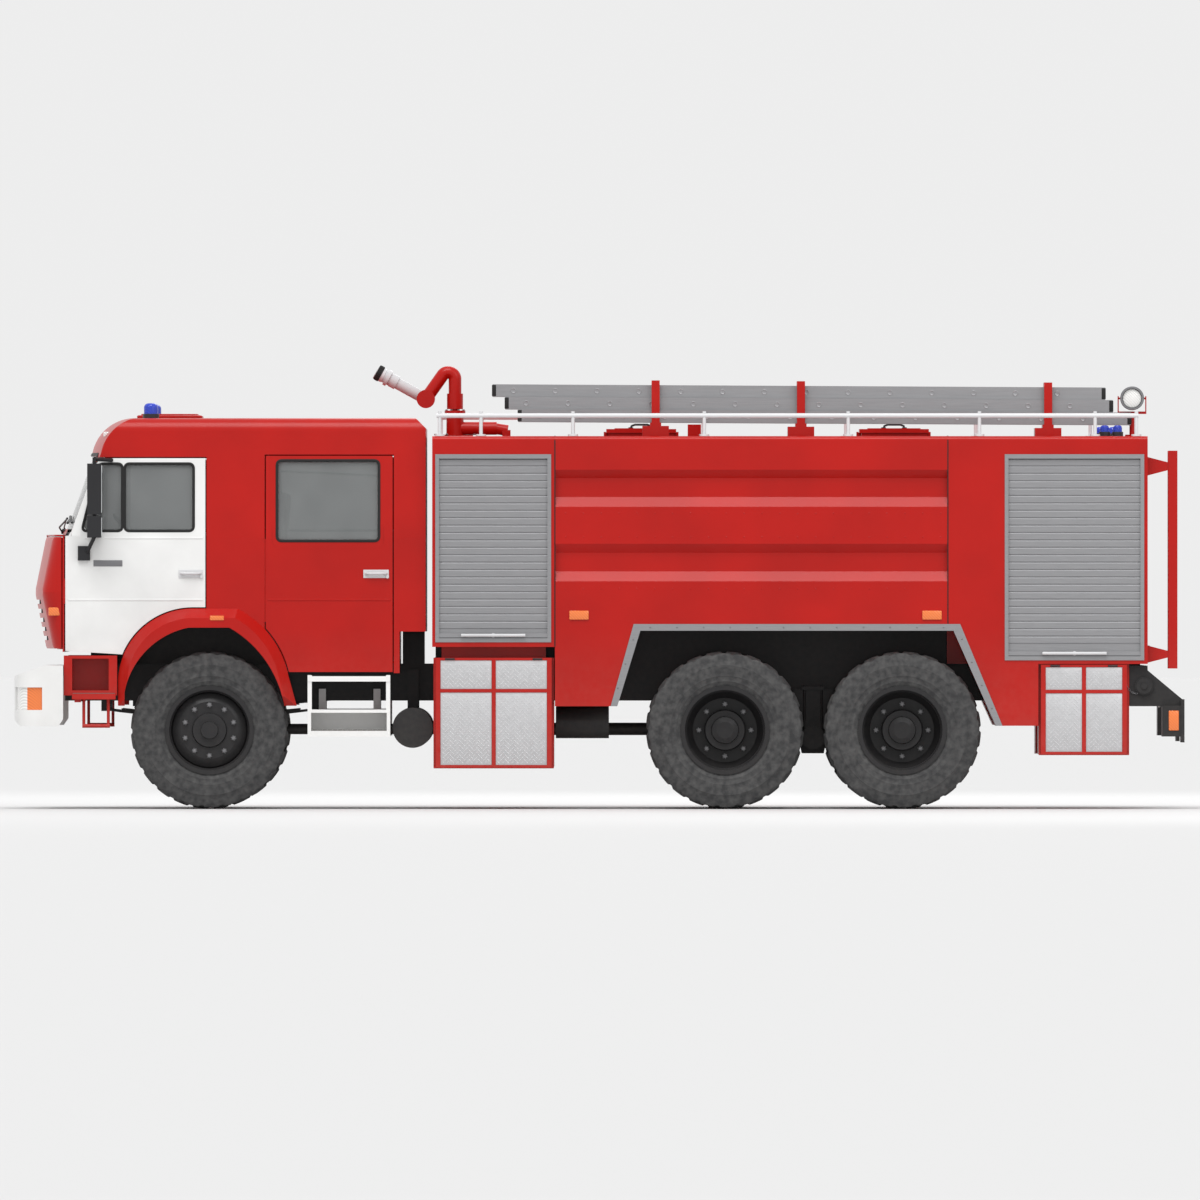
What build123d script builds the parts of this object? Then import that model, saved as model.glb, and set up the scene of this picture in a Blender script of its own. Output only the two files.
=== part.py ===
from build123d import *
import os

# A six-wheel crew-cab fire engine with a roof water cannon, in millimetres.
# The front points to -X, the left side to -Y and +Z is up. The origin is on the
# ground under the middle of the vehicle. "left" and "right" are the driver's.

# Overall
overall_length = 8400
body_width = 2500
cab_width = 2330
rear_end_x = overall_length / 2
front_end_x = -overall_length / 2

# Axles and wheels
front_axle_x = -2786
wheelbase = 3695
bogie_spacing = 1270
tyre_radius = 565
tyre_width = 310
rim_seat_radius = 300
flange_radius = 318
rim_width = 266
front_wheel_y = 1025
twin_spacing = 330
kingpin_y = 965
hub_bore_radius = 55
middle_axle_x = front_axle_x + wheelbase
rear_axle_x = middle_axle_x + bogie_spacing
bogie_x = (middle_axle_x + rear_axle_x) / 2
hub_z = tyre_radius
body_half = body_width / 2
twin_mid_y = body_half - 5 - tyre_width / 2 - twin_spacing / 2

# Chassis
rail_outer_y = 432
rail_bottom_z = 775
rail_top_z = 1040
rail_flange = 80
rail_plate = 10
subframe_top_z = 1279

# Cab
cab_half = cab_width / 2
cab_wall = 50
cab_rear_x = front_axle_x + 1550
cab_notch_x = cab_rear_x - 187
cab_notch_z = 1272
cab_sill_z = 974
cab_roof_z = 2802
belt_z = 1945
gutter_z = 2557
gutter_half = cab_half - 40
cowl_z = 1958
nose_x = front_axle_x - 1262
panel_thickness = 30
front_crown_radius = 8400
gap = 8
glass_thickness = 6
glass_depth = 18

# Body
cab_body_gap = 47
body_front_x = cab_rear_x + cab_body_gap
front_cabinet_length = 879
rear_cabinet_x = rear_axle_x + 326
rear_cabinet_length = 1431
body_rear_x = rear_cabinet_x + rear_cabinet_length
tank_front_x = body_front_x + front_cabinet_length
body_roof_z = 2672
body_floor_z = 1162
skirt_z = 737
rear_skirt_z = 597
flap_thickness = 40
locker_depth = 640
locker_wall = 20
pin_radius = 5.5
pin_clearance = 0.5

sides = (("left", -1), ("right", 1))
crown_axis = Axis((nose_x + front_crown_radius, 0, 0), (0, 0, 1))


def outline_sketch(points, plane):
    """A closed outline of straight lines as a face on the given plane."""
    with BuildSketch(plane) as outline:
        with BuildLine():
            Polyline(*points, close=True)
        make_face()
    return outline.sketch


def side_prism(points, y_from, y_to, mode=Mode.ADD):
    """An X-Z outline extruded across the vehicle between two Y values."""
    profile = outline_sketch(points, Plane.XZ.offset(-min(y_from, y_to)))
    extrude(profile, amount=abs(y_to - y_from), dir=(0, 1, 0), mode=mode)


def block(x, y, z, mode=Mode.ADD):
    """A box between two X, two Y and two Z values."""
    size = (abs(x[1] - x[0]), abs(y[1] - y[0]), abs(z[1] - z[0]))
    corner = (min(x), min(y), min(z))
    with BuildSketch(Plane.XY.offset(corner[2])) as base:
        with Locations((corner[0], corner[1])):
            Rectangle(size[0], size[1], align=(Align.MIN, Align.MIN))
    extrude(base.sketch, amount=size[2], dir=(0, 0, 1), mode=mode)


def rod(start, end, radius, mode=Mode.ADD):
    """A round bar between two points."""
    along = Vector(end) - Vector(start)
    with BuildSketch(Plane(origin=start, z_dir=along.normalized())) as section_face:
        Circle(radius)
    extrude(section_face.sketch, amount=along.length, mode=mode)


def turned(profile_points, centre, outward, mode=Mode.ADD):
    """A solid turned about a Y axis: (distance outward, radius) outline points."""
    plane = Plane(origin=centre, x_dir=(0, outward, 0), z_dir=(outward, 0, 0))
    profile = outline_sketch(profile_points, plane)
    revolve(profile, axis=Axis(centre, (0, 1, 0)), mode=mode)


def finish(part, label):
    """Name one piece and write it."""
    part.label = label
    export_step(part, f"parts/{label}.step")


os.makedirs("parts", exist_ok=True)

# Chassis frame: two C rails, cross members, body subframe, fuel and air tanks

frame_front_x = front_axle_x - 1046
frame_rear_x = body_rear_x - 40
subframe_front_x = body_front_x + 20
cab_mounts = ((front_axle_x - 860, front_axle_x - 720, 1150), (front_axle_x + 1080, front_axle_x + 1200, 1060))
cab_beam = ((cab_notch_x + 18, cab_rear_x - 14), (rail_top_z - 1, cab_notch_z - 17))
contact_gap = 0.3
tank_radius = 144
air_tank_radius = 113

with BuildPart() as chassis_frame:
    for side in (-1, 1):
        web_y = side * rail_outer_y
        inner_y = side * (rail_outer_y - rail_flange)
        block((frame_front_x, frame_rear_x), (web_y, web_y - side * rail_plate), (rail_bottom_z, rail_top_z))
        for flange_z in (rail_bottom_z, rail_top_z - rail_plate):
            block((frame_front_x, frame_rear_x), (web_y, inner_y), (flange_z, flange_z + rail_plate))
        block((subframe_front_x, frame_rear_x), (web_y, inner_y), (rail_top_z, subframe_top_z))
    cross_members = (frame_front_x + 100, front_axle_x + 1150, middle_axle_x - 700, bogie_x, rear_axle_x + 600, frame_rear_x - 60)
    for member_x in cross_members:
        block((member_x - 45, member_x + 45), (-rail_outer_y + 5, rail_outer_y - 5), (rail_top_z - 105, rail_top_z - 15))
    for sill_x in (subframe_front_x + 60, tank_front_x, bogie_x, rear_cabinet_x, frame_rear_x - 60):
        block((sill_x - 40, sill_x + 40), (-rail_outer_y + 5, rail_outer_y - 5), (subframe_top_z - 90, subframe_top_z))
    block(cab_beam[0], (-rail_outer_y, rail_outer_y), cab_beam[1])
    for side in (-1, 1):
        block(cab_beam[0], (side * 300, side * 400), (cab_notch_z - 18, cab_notch_z - contact_gap))
        for mount_from, mount_to, floor_z in cab_mounts:
            block((mount_from, mount_to), (side * (rail_outer_y - rail_flange), side * rail_outer_y), (rail_top_z - 1, floor_z - contact_gap))
        fuel_x = cab_rear_x - 94
        rod((fuel_x, side * 470, 582), (fuel_x, side * 1120, 582), tank_radius)
        block((fuel_x - 40, fuel_x + 40), (side * 460, side * 500), (560, 1000))
        block((fuel_x - 40, fuel_x + 40), (side * (rail_outer_y - 2), side * 470), (800, 1000))
        air_x = (tank_front_x + 6, middle_axle_x - 832)
        rod((air_x[0], side * 800, 619), (air_x[1], side * 800, 619), air_tank_radius)
        for strap_x in (air_x[0] + 90, air_x[1] - 90):
            block((strap_x - 20, strap_x + 20), (side * 690, side * 720), (600, 860))
            block((strap_x - 20, strap_x + 20), (side * (rail_outer_y - 2), side * 720), (820, 860))
finish(chassis_frame.part, "chassis_frame")

# Front axle: driven beam with its differential, fork ends and leaf springs

spring_y = rail_outer_y - 40
fork_half_height = 140
fork_ear = 34
kingpin_radius = 30
spindle_radius = 38
front_spring_half = 750
spring_width = 80


def leaf_pack(centre_x, y, base_z, half_length, leaves, thickness, step, camber):
    """A stack of curved leaves in side view, each one shorter than the leaf below."""

    def leaf_top(leaf, half):
        return base_z + (leaf + 1) * thickness + camber * (half / half_length) ** 2

    right = []
    for leaf in range(leaves):
        half = half_length - leaf * step
        right += [(half, leaf_top(leaf, half) - thickness + 2), (half, leaf_top(leaf, half))]
    with BuildSketch(Plane.XZ.offset(-(y - spring_width / 2))) as pack:
        with BuildLine():
            first = (half_length, base_z + camber)
            ThreePointArc((centre_x - first[0], first[1]), (centre_x, base_z), (centre_x + first[0], first[1]))
            Polyline((centre_x + first[0], first[1]), *[(centre_x + x, z) for x, z in right],
                     *[(centre_x - x, z) for x, z in reversed(right)], (centre_x - first[0], first[1]))
        make_face()
    extrude(pack.sketch, amount=spring_width, dir=(0, 1, 0))


with BuildPart() as front_axle:
    rod((front_axle_x, -860, hub_z), (front_axle_x, 860, hub_z), 62)
    turned([(-150, 0), (-150, 90), (-80, 150), (80, 150), (150, 90), (150, 0)], (front_axle_x, -180, hub_z), 1)
    for side in (-1, 1):
        block((front_axle_x - 55, front_axle_x + 55), (side * 840, side * 875), (hub_z - fork_half_height, hub_z + fork_half_height))
        for ear_z in (hub_z - fork_half_height, hub_z + fork_half_height - fork_ear):
            block((front_axle_x - 42, front_axle_x + 42), (side * 870, side * kingpin_y), (ear_z, ear_z + fork_ear))
            rod((front_axle_x, side * kingpin_y, ear_z), (front_axle_x, side * kingpin_y, ear_z + fork_ear), 43)
            rod((front_axle_x, side * kingpin_y, ear_z - 1), (front_axle_x, side * kingpin_y, ear_z + fork_ear + 1),
                kingpin_radius + pin_clearance, mode=Mode.SUBTRACT)
        block((front_axle_x - 80, front_axle_x + 80), (side * (spring_y - 45), side * (spring_y + 45)), (hub_z + 30, hub_z + 90))
        leaf_pack(front_axle_x, side * spring_y, hub_z + 85, front_spring_half, 5, 15, 110, 55)
        for end in (-1, 1):
            eye_x = front_axle_x + end * front_spring_half
            block((eye_x - 35, eye_x + 35), (side * (spring_y - 35), side * (spring_y + 35)), (hub_z + 135, rail_bottom_z))
finish(front_axle.part, "front_axle")

# Rear axles: two banjo housings, carried by rocking leaf packs on a trunnion

stub_radius = hub_bore_radius - pin_clearance
bogie_spring_y = rail_outer_y + 55
axle_tube_radius = 72
bogie_leaves = 12
bogie_leaf = 20

with BuildPart() as rear_axles:
    for axle_x in (middle_axle_x, rear_axle_x):
        rod((axle_x, -640, hub_z), (axle_x, 640, hub_z), axle_tube_radius)
        rod((axle_x, -twin_mid_y - 60, hub_z), (axle_x, twin_mid_y + 60, hub_z), stub_radius)
        turned([(-190, 0), (-190, 110), (-110, 205), (110, 205), (190, 110), (190, 0)], (axle_x, 0, hub_z), 1)
        for side in (-1, 1):
            block((axle_x - 75, axle_x + 75), (side * (bogie_spring_y - 50), side * (bogie_spring_y + 50)), (hub_z, hub_z + 95))
    for side in (-1, 1):
        spring_side = side * bogie_spring_y
        leaf_pack(bogie_x, spring_side, hub_z + 51, bogie_spacing / 2 + 60, bogie_leaves, bogie_leaf, 50, 42)
        block((bogie_x - 90, bogie_x + 90), (spring_side - 52, spring_side + 52), (hub_z + 25, hub_z + 60))
        rod((bogie_x, side * 340, hub_z - 55), (bogie_x, spring_side + side * 65, hub_z - 55), 84)
        block((bogie_x - 60, bogie_x + 60), (spring_side - 50, spring_side + 50), (hub_z - 60, hub_z + 40))
        side_prism(
            [(bogie_x - 150, rail_bottom_z), (bogie_x + 150, rail_bottom_z), (bogie_x + 78, hub_z - 169), (bogie_x - 78, hub_z - 169)],
            side * 352, side * 415,
        )
        for bolt_x in (bogie_x - 62, bogie_x + 62):
            for bolt_y in (spring_side - 46, spring_side + 46):
                rod((bolt_x, bolt_y, hub_z + 30), (bolt_x, bolt_y, hub_z + 51 + bogie_leaves * bogie_leaf + 30), 9)
        block((bogie_x - 80, bogie_x + 80), (spring_side - 55, spring_side + 55),
              (hub_z + 51 + bogie_leaves * bogie_leaf - 4, hub_z + 51 + bogie_leaves * bogie_leaf + 20))
finish(rear_axles.part, "rear_axles")

# Driveline: engine block, gearbox, transfer case and propeller shafts

engine_top_z = 1318
shaft_z = hub_z + 5
transfer_x = (front_axle_x + middle_axle_x) / 2 + 300

with BuildPart() as driveline:
    block((front_axle_x - 560, front_axle_x + 480), (-330, 330), (735, engine_top_z))
    block((front_axle_x - 840, front_axle_x - 550), (-310, 310), (790, 1130))
    for side in (-1, 1):
        block((front_axle_x - 120, front_axle_x), (side * 320, side * (rail_outer_y - rail_plate - 0.3)), (830, 950))
    side_prism(
        [(front_axle_x + 470, 740), (front_axle_x + 1050, 790), (front_axle_x + 1050, 925), (front_axle_x + 470, 1050)], -240, 240,
    )
    rod((front_axle_x + 1040, 0, 860), (transfer_x - 150, 0, 800), 45)
    block((transfer_x - 170, transfer_x + 170), (-220, 220), (520, 900))
    rod((transfer_x + 160, 0, shaft_z), (middle_axle_x - 205.3, 0, shaft_z), 45)
    rod((middle_axle_x + 205.3, 0, shaft_z + 40), (rear_axle_x - 205.3, 0, shaft_z + 40), 40)
    rod((transfer_x - 160, -180, shaft_z), (front_axle_x + 150.3, -180, shaft_z), 38)
    rod((transfer_x, 0, 895), (transfer_x, 0, 1000), 30)
    block((transfer_x - 60, transfer_x + 60), (-rail_outer_y + rail_plate + 0.3, rail_outer_y - rail_plate - 0.3), (960, 1010))
finish(driveline.part, "driveline")

# Front bumper: a shell with a sloping top, rounded corners and lamp pockets

bumper_half = body_half - 5
bumper_x = front_end_x
bumper_rear_x = front_axle_x - 1047
bumper_bottom_z = 594
bumper_top_z = 1030
lamp_x = (bumper_x + 60, bumper_x + 217)
lamp_z = (710, 872)


def bumper_plan(inset, back_x, plane):
    """Plan outline of the bumper with its rounded front corners."""
    with BuildSketch(plane) as plan:
        with BuildLine():
            front = ThreePointArc((bumper_x + 45 + inset, -bumper_half + inset), (bumper_x + inset, 0),
                                  (bumper_x + 45 + inset, bumper_half - inset))
            Polyline(front @ 1, (back_x, bumper_half - inset), (back_x, -bumper_half + inset), front @ 0)
        make_face()
        fillet(plan.vertices().sort_by(Axis.X)[:2], radius=150 - inset)
    return plan.sketch


with BuildPart() as front_bumper:
    extrude(bumper_plan(0, bumper_rear_x, Plane.XY.offset(bumper_bottom_z)), amount=bumper_top_z - bumper_bottom_z, dir=(0, 0, 1))
    side_prism(
        [(bumper_x, 645), (bumper_x, 945), (bumper_x + 60, 970), (bumper_x + 230, bumper_top_z), (bumper_rear_x, bumper_top_z),
         (bumper_rear_x, 644), (bumper_rear_x - 33, bumper_bottom_z), (bumper_x + 60, bumper_bottom_z)],
        -bumper_half - 10, bumper_half + 10, mode=Mode.INTERSECT,
    )
    extrude(bumper_plan(35, bumper_rear_x + 100, Plane.XY.offset(bumper_bottom_z - 10)), amount=bumper_top_z - bumper_bottom_z - 60,
            dir=(0, 0, 1), mode=Mode.SUBTRACT)
    for side in (-1, 1):
        block(lamp_x, (side * 1020, side * (bumper_half + 20)), lamp_z, mode=Mode.SUBTRACT)
        block((bumper_x - 20, bumper_x + 150), (side * 780, side * 1180), lamp_z, mode=Mode.SUBTRACT)
        block((bumper_x + 120, frame_front_x - 0.3), (side * 360, side * 430), (820, 990))
finish(front_bumper.part, "front_bumper")


def headlamp(side):
    """One lamp unit, filling its pocket in the bumper's corner."""
    with BuildPart() as lamp:
        extrude(bumper_plan(12, bumper_rear_x, Plane.XY.offset(lamp_z[0] + 0.5)), amount=lamp_z[1] - lamp_z[0] - 1, dir=(0, 0, 1))
        block((bumper_x - 20, lamp_x[1] - 0.5), (side * 780.5, side * (bumper_half + 20)), lamp_z, mode=Mode.INTERSECT)
        extrude(bumper_plan(60, bumper_rear_x + 50, Plane.XY.offset(lamp_z[0] - 5)), amount=200, dir=(0, 0, 1), mode=Mode.SUBTRACT)
    return lamp.part


# Cab form: the front is crowned in plan, the sides lean in above the belt

grille_foot = (nose_x + 83, 1145)
grille_nose = (nose_x, 1555)
grille_head = (nose_x + 83, cowl_z)
screen_foot = (nose_x + 197, 1980)
screen_head = (nose_x + 408, gutter_z)
brow = (nose_x + 505, 2727)
roof_front = (nose_x + 760, cab_roof_z)
nose_corner = 160
screen_corner = 100
roof_corner = 100


def from_crown(point):
    """A side-view point as distance from the crown axis and height."""
    return (nose_x + front_crown_radius - point[0], point[1])


def corner_prism(front_x, z, toward, radius, inset):
    """The cab's plan outline with round corners, run along a slope."""
    with BuildSketch(Plane.XY.offset(z)) as plan:
        with BuildLine():
            corner_x = front_x + cab_half ** 2 / (2 * front_crown_radius)
            front = ThreePointArc((corner_x, -cab_half), (front_x, 0), (corner_x, cab_half))
            Polyline(front @ 1, (cab_rear_x + 900, cab_half), (cab_rear_x + 900, -cab_half), front @ 0)
        make_face()
        fillet(plan.vertices().sort_by(Axis.X)[:2], radius=radius)
        if inset:
            offset(amount=-inset, kind=Kind.INTERSECTION)
    along = Vector(*toward)
    with BuildPart() as prism:
        extrude(plan.sketch, amount=along.length, dir=along.normalized())
    return prism.part


def crowned(inset, lower):
    """The nose block or the screen and roof block of the cab, shrunk by inset."""
    turn = 12
    tilted = Vector(-1, 0, 0).rotate(Axis.Z, turn)
    start = Plane(origin=(nose_x + front_crown_radius, 0, 0), x_dir=tilted, z_dir=tilted.cross(Vector(0, 0, 1)))
    deep = cab_rear_x + 500
    with BuildSketch(start) as profile:
        with BuildLine():
            if lower:
                arc = ThreePointArc(from_crown(grille_foot), from_crown(grille_nose), from_crown(grille_head))
                Polyline(arc @ 1, from_crown((deep, cowl_z)), from_crown((deep, 0)), from_crown((grille_foot[0], 0)), arc @ 0)
            else:
                screen = Line(from_crown(screen_foot), from_crown(screen_head))
                over = ThreePointArc(screen @ 1, from_crown(brow), from_crown(roof_front))
                Polyline(over @ 1, from_crown((deep, cab_roof_z)), from_crown((deep, 1800)),
                         from_crown((screen_foot[0], 1800)), screen @ 0)
        make_face()
        if inset:
            offset(amount=-inset, kind=Kind.INTERSECTION)
    with BuildPart() as form:
        revolve(profile.sketch, axis=crown_axis, revolution_arc=-2 * turn)
        if lower:
            down = corner_prism(nose_x - 5, grille_nose[1], (314, 0, -1550), nose_corner, inset)
            up = corner_prism(nose_x - 5, grille_nose[1], (83, 0, 410), nose_corner, inset)
            add(down + up, mode=Mode.INTERSECT)
        else:
            slope = (screen_head[0] - screen_foot[0]) / (screen_head[1] - screen_foot[1])
            add(corner_prism(screen_foot[0] - 180 * slope - 5, 1800, (1100 * slope, 0, 1100), screen_corner, inset),
                mode=Mode.INTERSECT)
    return form.part


def cab_form(inset):
    """The cab's whole outside shrunk by inset, open-ended below."""
    with BuildSketch(Plane.YZ.offset(nose_x - 50)) as front_view:
        with BuildLine():
            Polyline((-cab_half, -100), (-cab_half, belt_z), (-gutter_half, gutter_z), (-gutter_half + 20, cab_roof_z),
                     (gutter_half - 20, cab_roof_z), (gutter_half, gutter_z), (cab_half, belt_z), (cab_half, -100), close=True)
        make_face()
        fillet(front_view.vertices().group_by(Axis.Z)[-1], radius=roof_corner)
        if inset:
            offset(amount=-inset, kind=Kind.INTERSECTION)
    with BuildSketch(Plane.XZ.offset(cab_half + 50)) as side_view:
        with BuildLine():
            Polyline((nose_x - 50, -100), (nose_x - 50, cab_roof_z + 100), (cab_rear_x - 72, cab_roof_z + 100),
                     (cab_rear_x - 72, cab_roof_z), (cab_rear_x, cab_roof_z - 72), (cab_rear_x, cab_notch_z),
                     (cab_notch_x, cab_notch_z), (cab_notch_x, -100), close=True)
        make_face()
        if inset:
            offset(amount=-inset, kind=Kind.INTERSECTION)
    with BuildPart() as form:
        add(crowned(inset, True))
        add(crowned(inset, False))
        extrude(front_view.sketch, amount=cab_rear_x - nose_x + 100, dir=(1, 0, 0), mode=Mode.INTERSECT)
        extrude(side_view.sketch, amount=cab_width + 100, dir=(0, 1, 0), mode=Mode.INTERSECT)
    return form.part


# Cab shell: walls of one thickness, with its openings cut, then split into panels

arch_top_z = 1438
arch_front_x = front_axle_x - 657
arch_flat_x = (front_axle_x - 128, front_axle_x + 203)
lip_inner_front_x = front_axle_x - 607
pillar_foot = (front_axle_x - 1040, cowl_z)
pillar_head = (front_axle_x - 780, gutter_z)
door_front_x = front_axle_x - 1040
door_rear_x = front_axle_x - 21
crew_front_x = front_axle_x + 396
crew_rear_x = front_axle_x + 1321


def arch_outline(proud, plane):
    """Outer edge of the front wheel arch, widened by proud."""
    with BuildSketch(plane) as arch:
        with BuildLine():
            Line((arch_front_x, skirt_z), (arch_front_x, 880))
            ThreePointArc((arch_front_x, 880), (front_axle_x - 494, 1286), (arch_flat_x[0], arch_top_z))
            Line((arch_flat_x[0], arch_top_z), (arch_flat_x[1], arch_top_z))
            ThreePointArc((arch_flat_x[1], arch_top_z), (front_axle_x + 452, 1223), (front_axle_x + 562, 980))
            Polyline((front_axle_x + 562, 980), (front_axle_x + 629, skirt_z), (arch_front_x, skirt_z))
        make_face()
        if proud:
            offset(amount=proud, kind=Kind.INTERSECTION)
    return arch.sketch


def arch_mouth(grow, plane):
    """Inner edge of the front wheel arch, open below."""
    with BuildSketch(plane) as mouth:
        with BuildLine():
            Line((lip_inner_front_x, 400), (lip_inner_front_x, 837))
            ThreePointArc((lip_inner_front_x, 837), (front_axle_x - 404, 1179), (front_axle_x - 150, 1300))
            Line((front_axle_x - 150, 1300), (front_axle_x + 144, 1300))
            ThreePointArc((front_axle_x + 144, 1300), (front_axle_x + 375, 1102), (front_axle_x + 536, 748))
            Polyline((front_axle_x + 536, 748), (front_axle_x + 536, 400), (lip_inner_front_x, 400))
        make_face()
        if grow:
            offset(amount=grow, kind=Kind.INTERSECTION)
    return mouth.sketch


front_door_opening = [
    (door_front_x, 1126), (door_front_x, cowl_z), (pillar_foot[0] + (2522 - cowl_z) * (261 / 599), 2522),
    (door_rear_x, 2522), (door_rear_x, 1300), (front_axle_x - 560, 1096),
]
crew_door_opening = [
    (crew_front_x, 2540), (crew_rear_x, 2540), (crew_rear_x, cab_sill_z), (crew_front_x, cab_sill_z),
]


def door_outline(points, shrink, arch_gap, plane):
    """A door outline shrunk all round, with the wheel arch cut from its corner."""
    with BuildSketch(plane) as door:
        with BuildLine():
            Polyline(*points, close=True)
        make_face()
        if shrink:
            offset(amount=-shrink, kind=Kind.INTERSECTION)
        add(arch_outline(arch_gap, Plane.XY), mode=Mode.SUBTRACT)
    return plane.from_local_coords(door.sketch_local)


cab_outside = cab_form(0)
far_left = Plane.XZ.offset(cab_half + 50)

with BuildPart() as cab_walls:
    add(cab_outside)
    add(cab_form(cab_wall), mode=Mode.SUBTRACT)

with BuildPart() as cab_shell:
    add(cab_walls.part)
    side_prism(
        [(nose_x - 60, 1145), (front_axle_x - 612, 1104), (front_axle_x + 560, cab_sill_z), (cab_rear_x + 50, cab_sill_z),
         (cab_rear_x + 50, cab_roof_z + 100), (nose_x - 60, cab_roof_z + 100)], -cab_half - 50, cab_half + 50, mode=Mode.INTERSECT,
    )
    extrude(arch_mouth(0, far_left), amount=cab_width + 100, dir=(0, 1, 0), mode=Mode.SUBTRACT)
    for opening in (front_door_opening, crew_door_opening):
        extrude(door_outline(opening, 0, 0, far_left), amount=cab_width + 100, dir=(0, 1, 0), mode=Mode.SUBTRACT)
    with BuildSketch(Plane.YZ.offset(nose_x - 50)) as screen_hole:
        with BuildLine():
            Polyline((-1040, 2005), (1040, 2005), (1000, 2535), (-1000, 2535), close=True)
        make_face()
        fillet(screen_hole.vertices(), radius=50)
    extrude(screen_hole.sketch, amount=600, dir=(1, 0, 0), mode=Mode.SUBTRACT)

roof_zone = [(nose_x - 60, gutter_z), (cab_rear_x + 60, gutter_z), (cab_rear_x + 60, cab_roof_z + 60), (nose_x - 60, cab_roof_z + 60)]
ring_zone = [(nose_x - 60, cowl_z), pillar_foot, pillar_head, (nose_x - 60, gutter_z)]
rear_zone = [
    (cab_rear_x - cab_wall, gutter_z), (cab_rear_x - cab_wall, cab_notch_z + cab_wall), (crew_rear_x, cab_notch_z + cab_wall),
    (crew_rear_x, 800), (cab_rear_x + 60, 800), (cab_rear_x + 60, gutter_z),
]
side_zone = [pillar_head, pillar_foot, (pillar_foot[0], 800), (crew_rear_x, 800), (crew_rear_x, cab_notch_z + cab_wall),
             (cab_rear_x - cab_wall, cab_notch_z + cab_wall), (cab_rear_x - cab_wall, gutter_z)]

with BuildPart() as cab_roof:
    add(cab_shell.part)
    side_prism(roof_zone, -cab_half - 60, cab_half + 60, mode=Mode.INTERSECT)
    for rib_x in (front_axle_x - 300, front_axle_x + 300, front_axle_x + 900):
        block((rib_x - 25, rib_x + 25), (-gutter_half + 100, gutter_half - 100), (cab_roof_z - 70, cab_roof_z - 40))
finish(cab_roof.part, "cab_roof")

bulkhead_x = (door_front_x - 54, door_front_x - 12)
hinge_z = (1480, 1640)
crew_hinge_z = (1340, belt_z - 10)
hinge_radius = gap / 2 - pin_clearance
lug_reach = 2.4
panel_hinge = (grille_head[0], cowl_z - gap / 2)

with BuildPart() as bulkhead:
    add(cab_form(panel_thickness + gap))
    block(bulkhead_x, (-cab_half, cab_half), (1145, cowl_z + 10), mode=Mode.INTERSECT)
    # The front panel's top corners swing down through these notches
    for side in (-1, 1):
        block((bulkhead_x[0] - 1, bulkhead_x[1]), (side * 950, side * (cab_half + 1)), (cowl_z - 64, cowl_z + 11),
              mode=Mode.SUBTRACT)

with BuildPart() as door_posts:
    add(cab_outside)
    block((door_front_x - 12, door_front_x), (-cab_half, cab_half), (1126, cowl_z + 5), mode=Mode.INTERSECT)

with BuildPart() as cowl:
    add(corner_prism(grille_head[0], cowl_z - 2, (0, 0, 10), nose_corner, 0))
    block((nose_x, door_front_x - 12), (-cab_half, cab_half), (cowl_z - 4, cowl_z + 12), mode=Mode.INTERSECT)

with BuildPart() as cab_front:
    add(cab_shell.part)
    side_prism(ring_zone, -cab_half - 60, cab_half + 60, mode=Mode.INTERSECT)
    add(bulkhead.part)
    add(door_posts.part)
    add(cowl.part)
    for side in (-1, 1):
        pin_x = door_front_x + gap / 2
        for lug_z in (hinge_z[0] - 10, hinge_z[1]):
            block((door_front_x - 12, pin_x + lug_reach), (side * (cab_half - 15), side * (cab_half + lug_reach)), (lug_z, lug_z + 10))
        rod((pin_x, side * cab_half, hinge_z[0] - 1), (pin_x, side * cab_half, hinge_z[1] + 1), hinge_radius)
        for pin_y in (side * 60, side * 160):
            block((panel_hinge[0] - 3, panel_hinge[0] + 12), (pin_y - 8, pin_y + 8), (panel_hinge[1], cowl_z + 8))
        rod((panel_hinge[0], side * 60, panel_hinge[1]), (panel_hinge[0], side * 160, panel_hinge[1]), hinge_radius)
finish(cab_front.part, "cab_front")

with BuildPart() as rear_wall:
    add(cab_shell.part)
    side_prism(rear_zone, -cab_half - 60, cab_half + 60, mode=Mode.INTERSECT)
    block((cab_notch_x - 200, cab_rear_x + 50), (-rail_outer_y - 40, rail_outer_y + 40), (cab_sill_z - 10, rail_top_z + 30), mode=Mode.SUBTRACT)

with BuildPart() as cab_sides:
    add(cab_shell.part)
    side_prism(side_zone, -cab_half - 60, cab_half + 60, mode=Mode.INTERSECT)
    block((nose_x, cab_rear_x), (-cab_half + 90, cab_half - 90), (700, gutter_z + 50), mode=Mode.SUBTRACT)
    add(rear_wall.part)
    for side in (-1, 1):
        pin_x = crew_front_x + gap / 2
        for lug_z in (crew_hinge_z[0], crew_hinge_z[1] - 12):
            block((crew_front_x - 12, pin_x + lug_reach), (side * (cab_half - 30), side * (cab_half + lug_reach)), (lug_z, lug_z + 12))
        rod((pin_x, side * cab_half, crew_hinge_z[0] + 2), (pin_x, side * cab_half, crew_hinge_z[1] - 2), hinge_radius)
finish(cab_sides.part, "cab_sides")

# Windscreen and side windows lie between two thin copies of the cab form

with BuildPart() as glass_skin:
    add(cab_form(glass_depth))
    add(cab_form(glass_depth + glass_thickness), mode=Mode.SUBTRACT)

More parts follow.
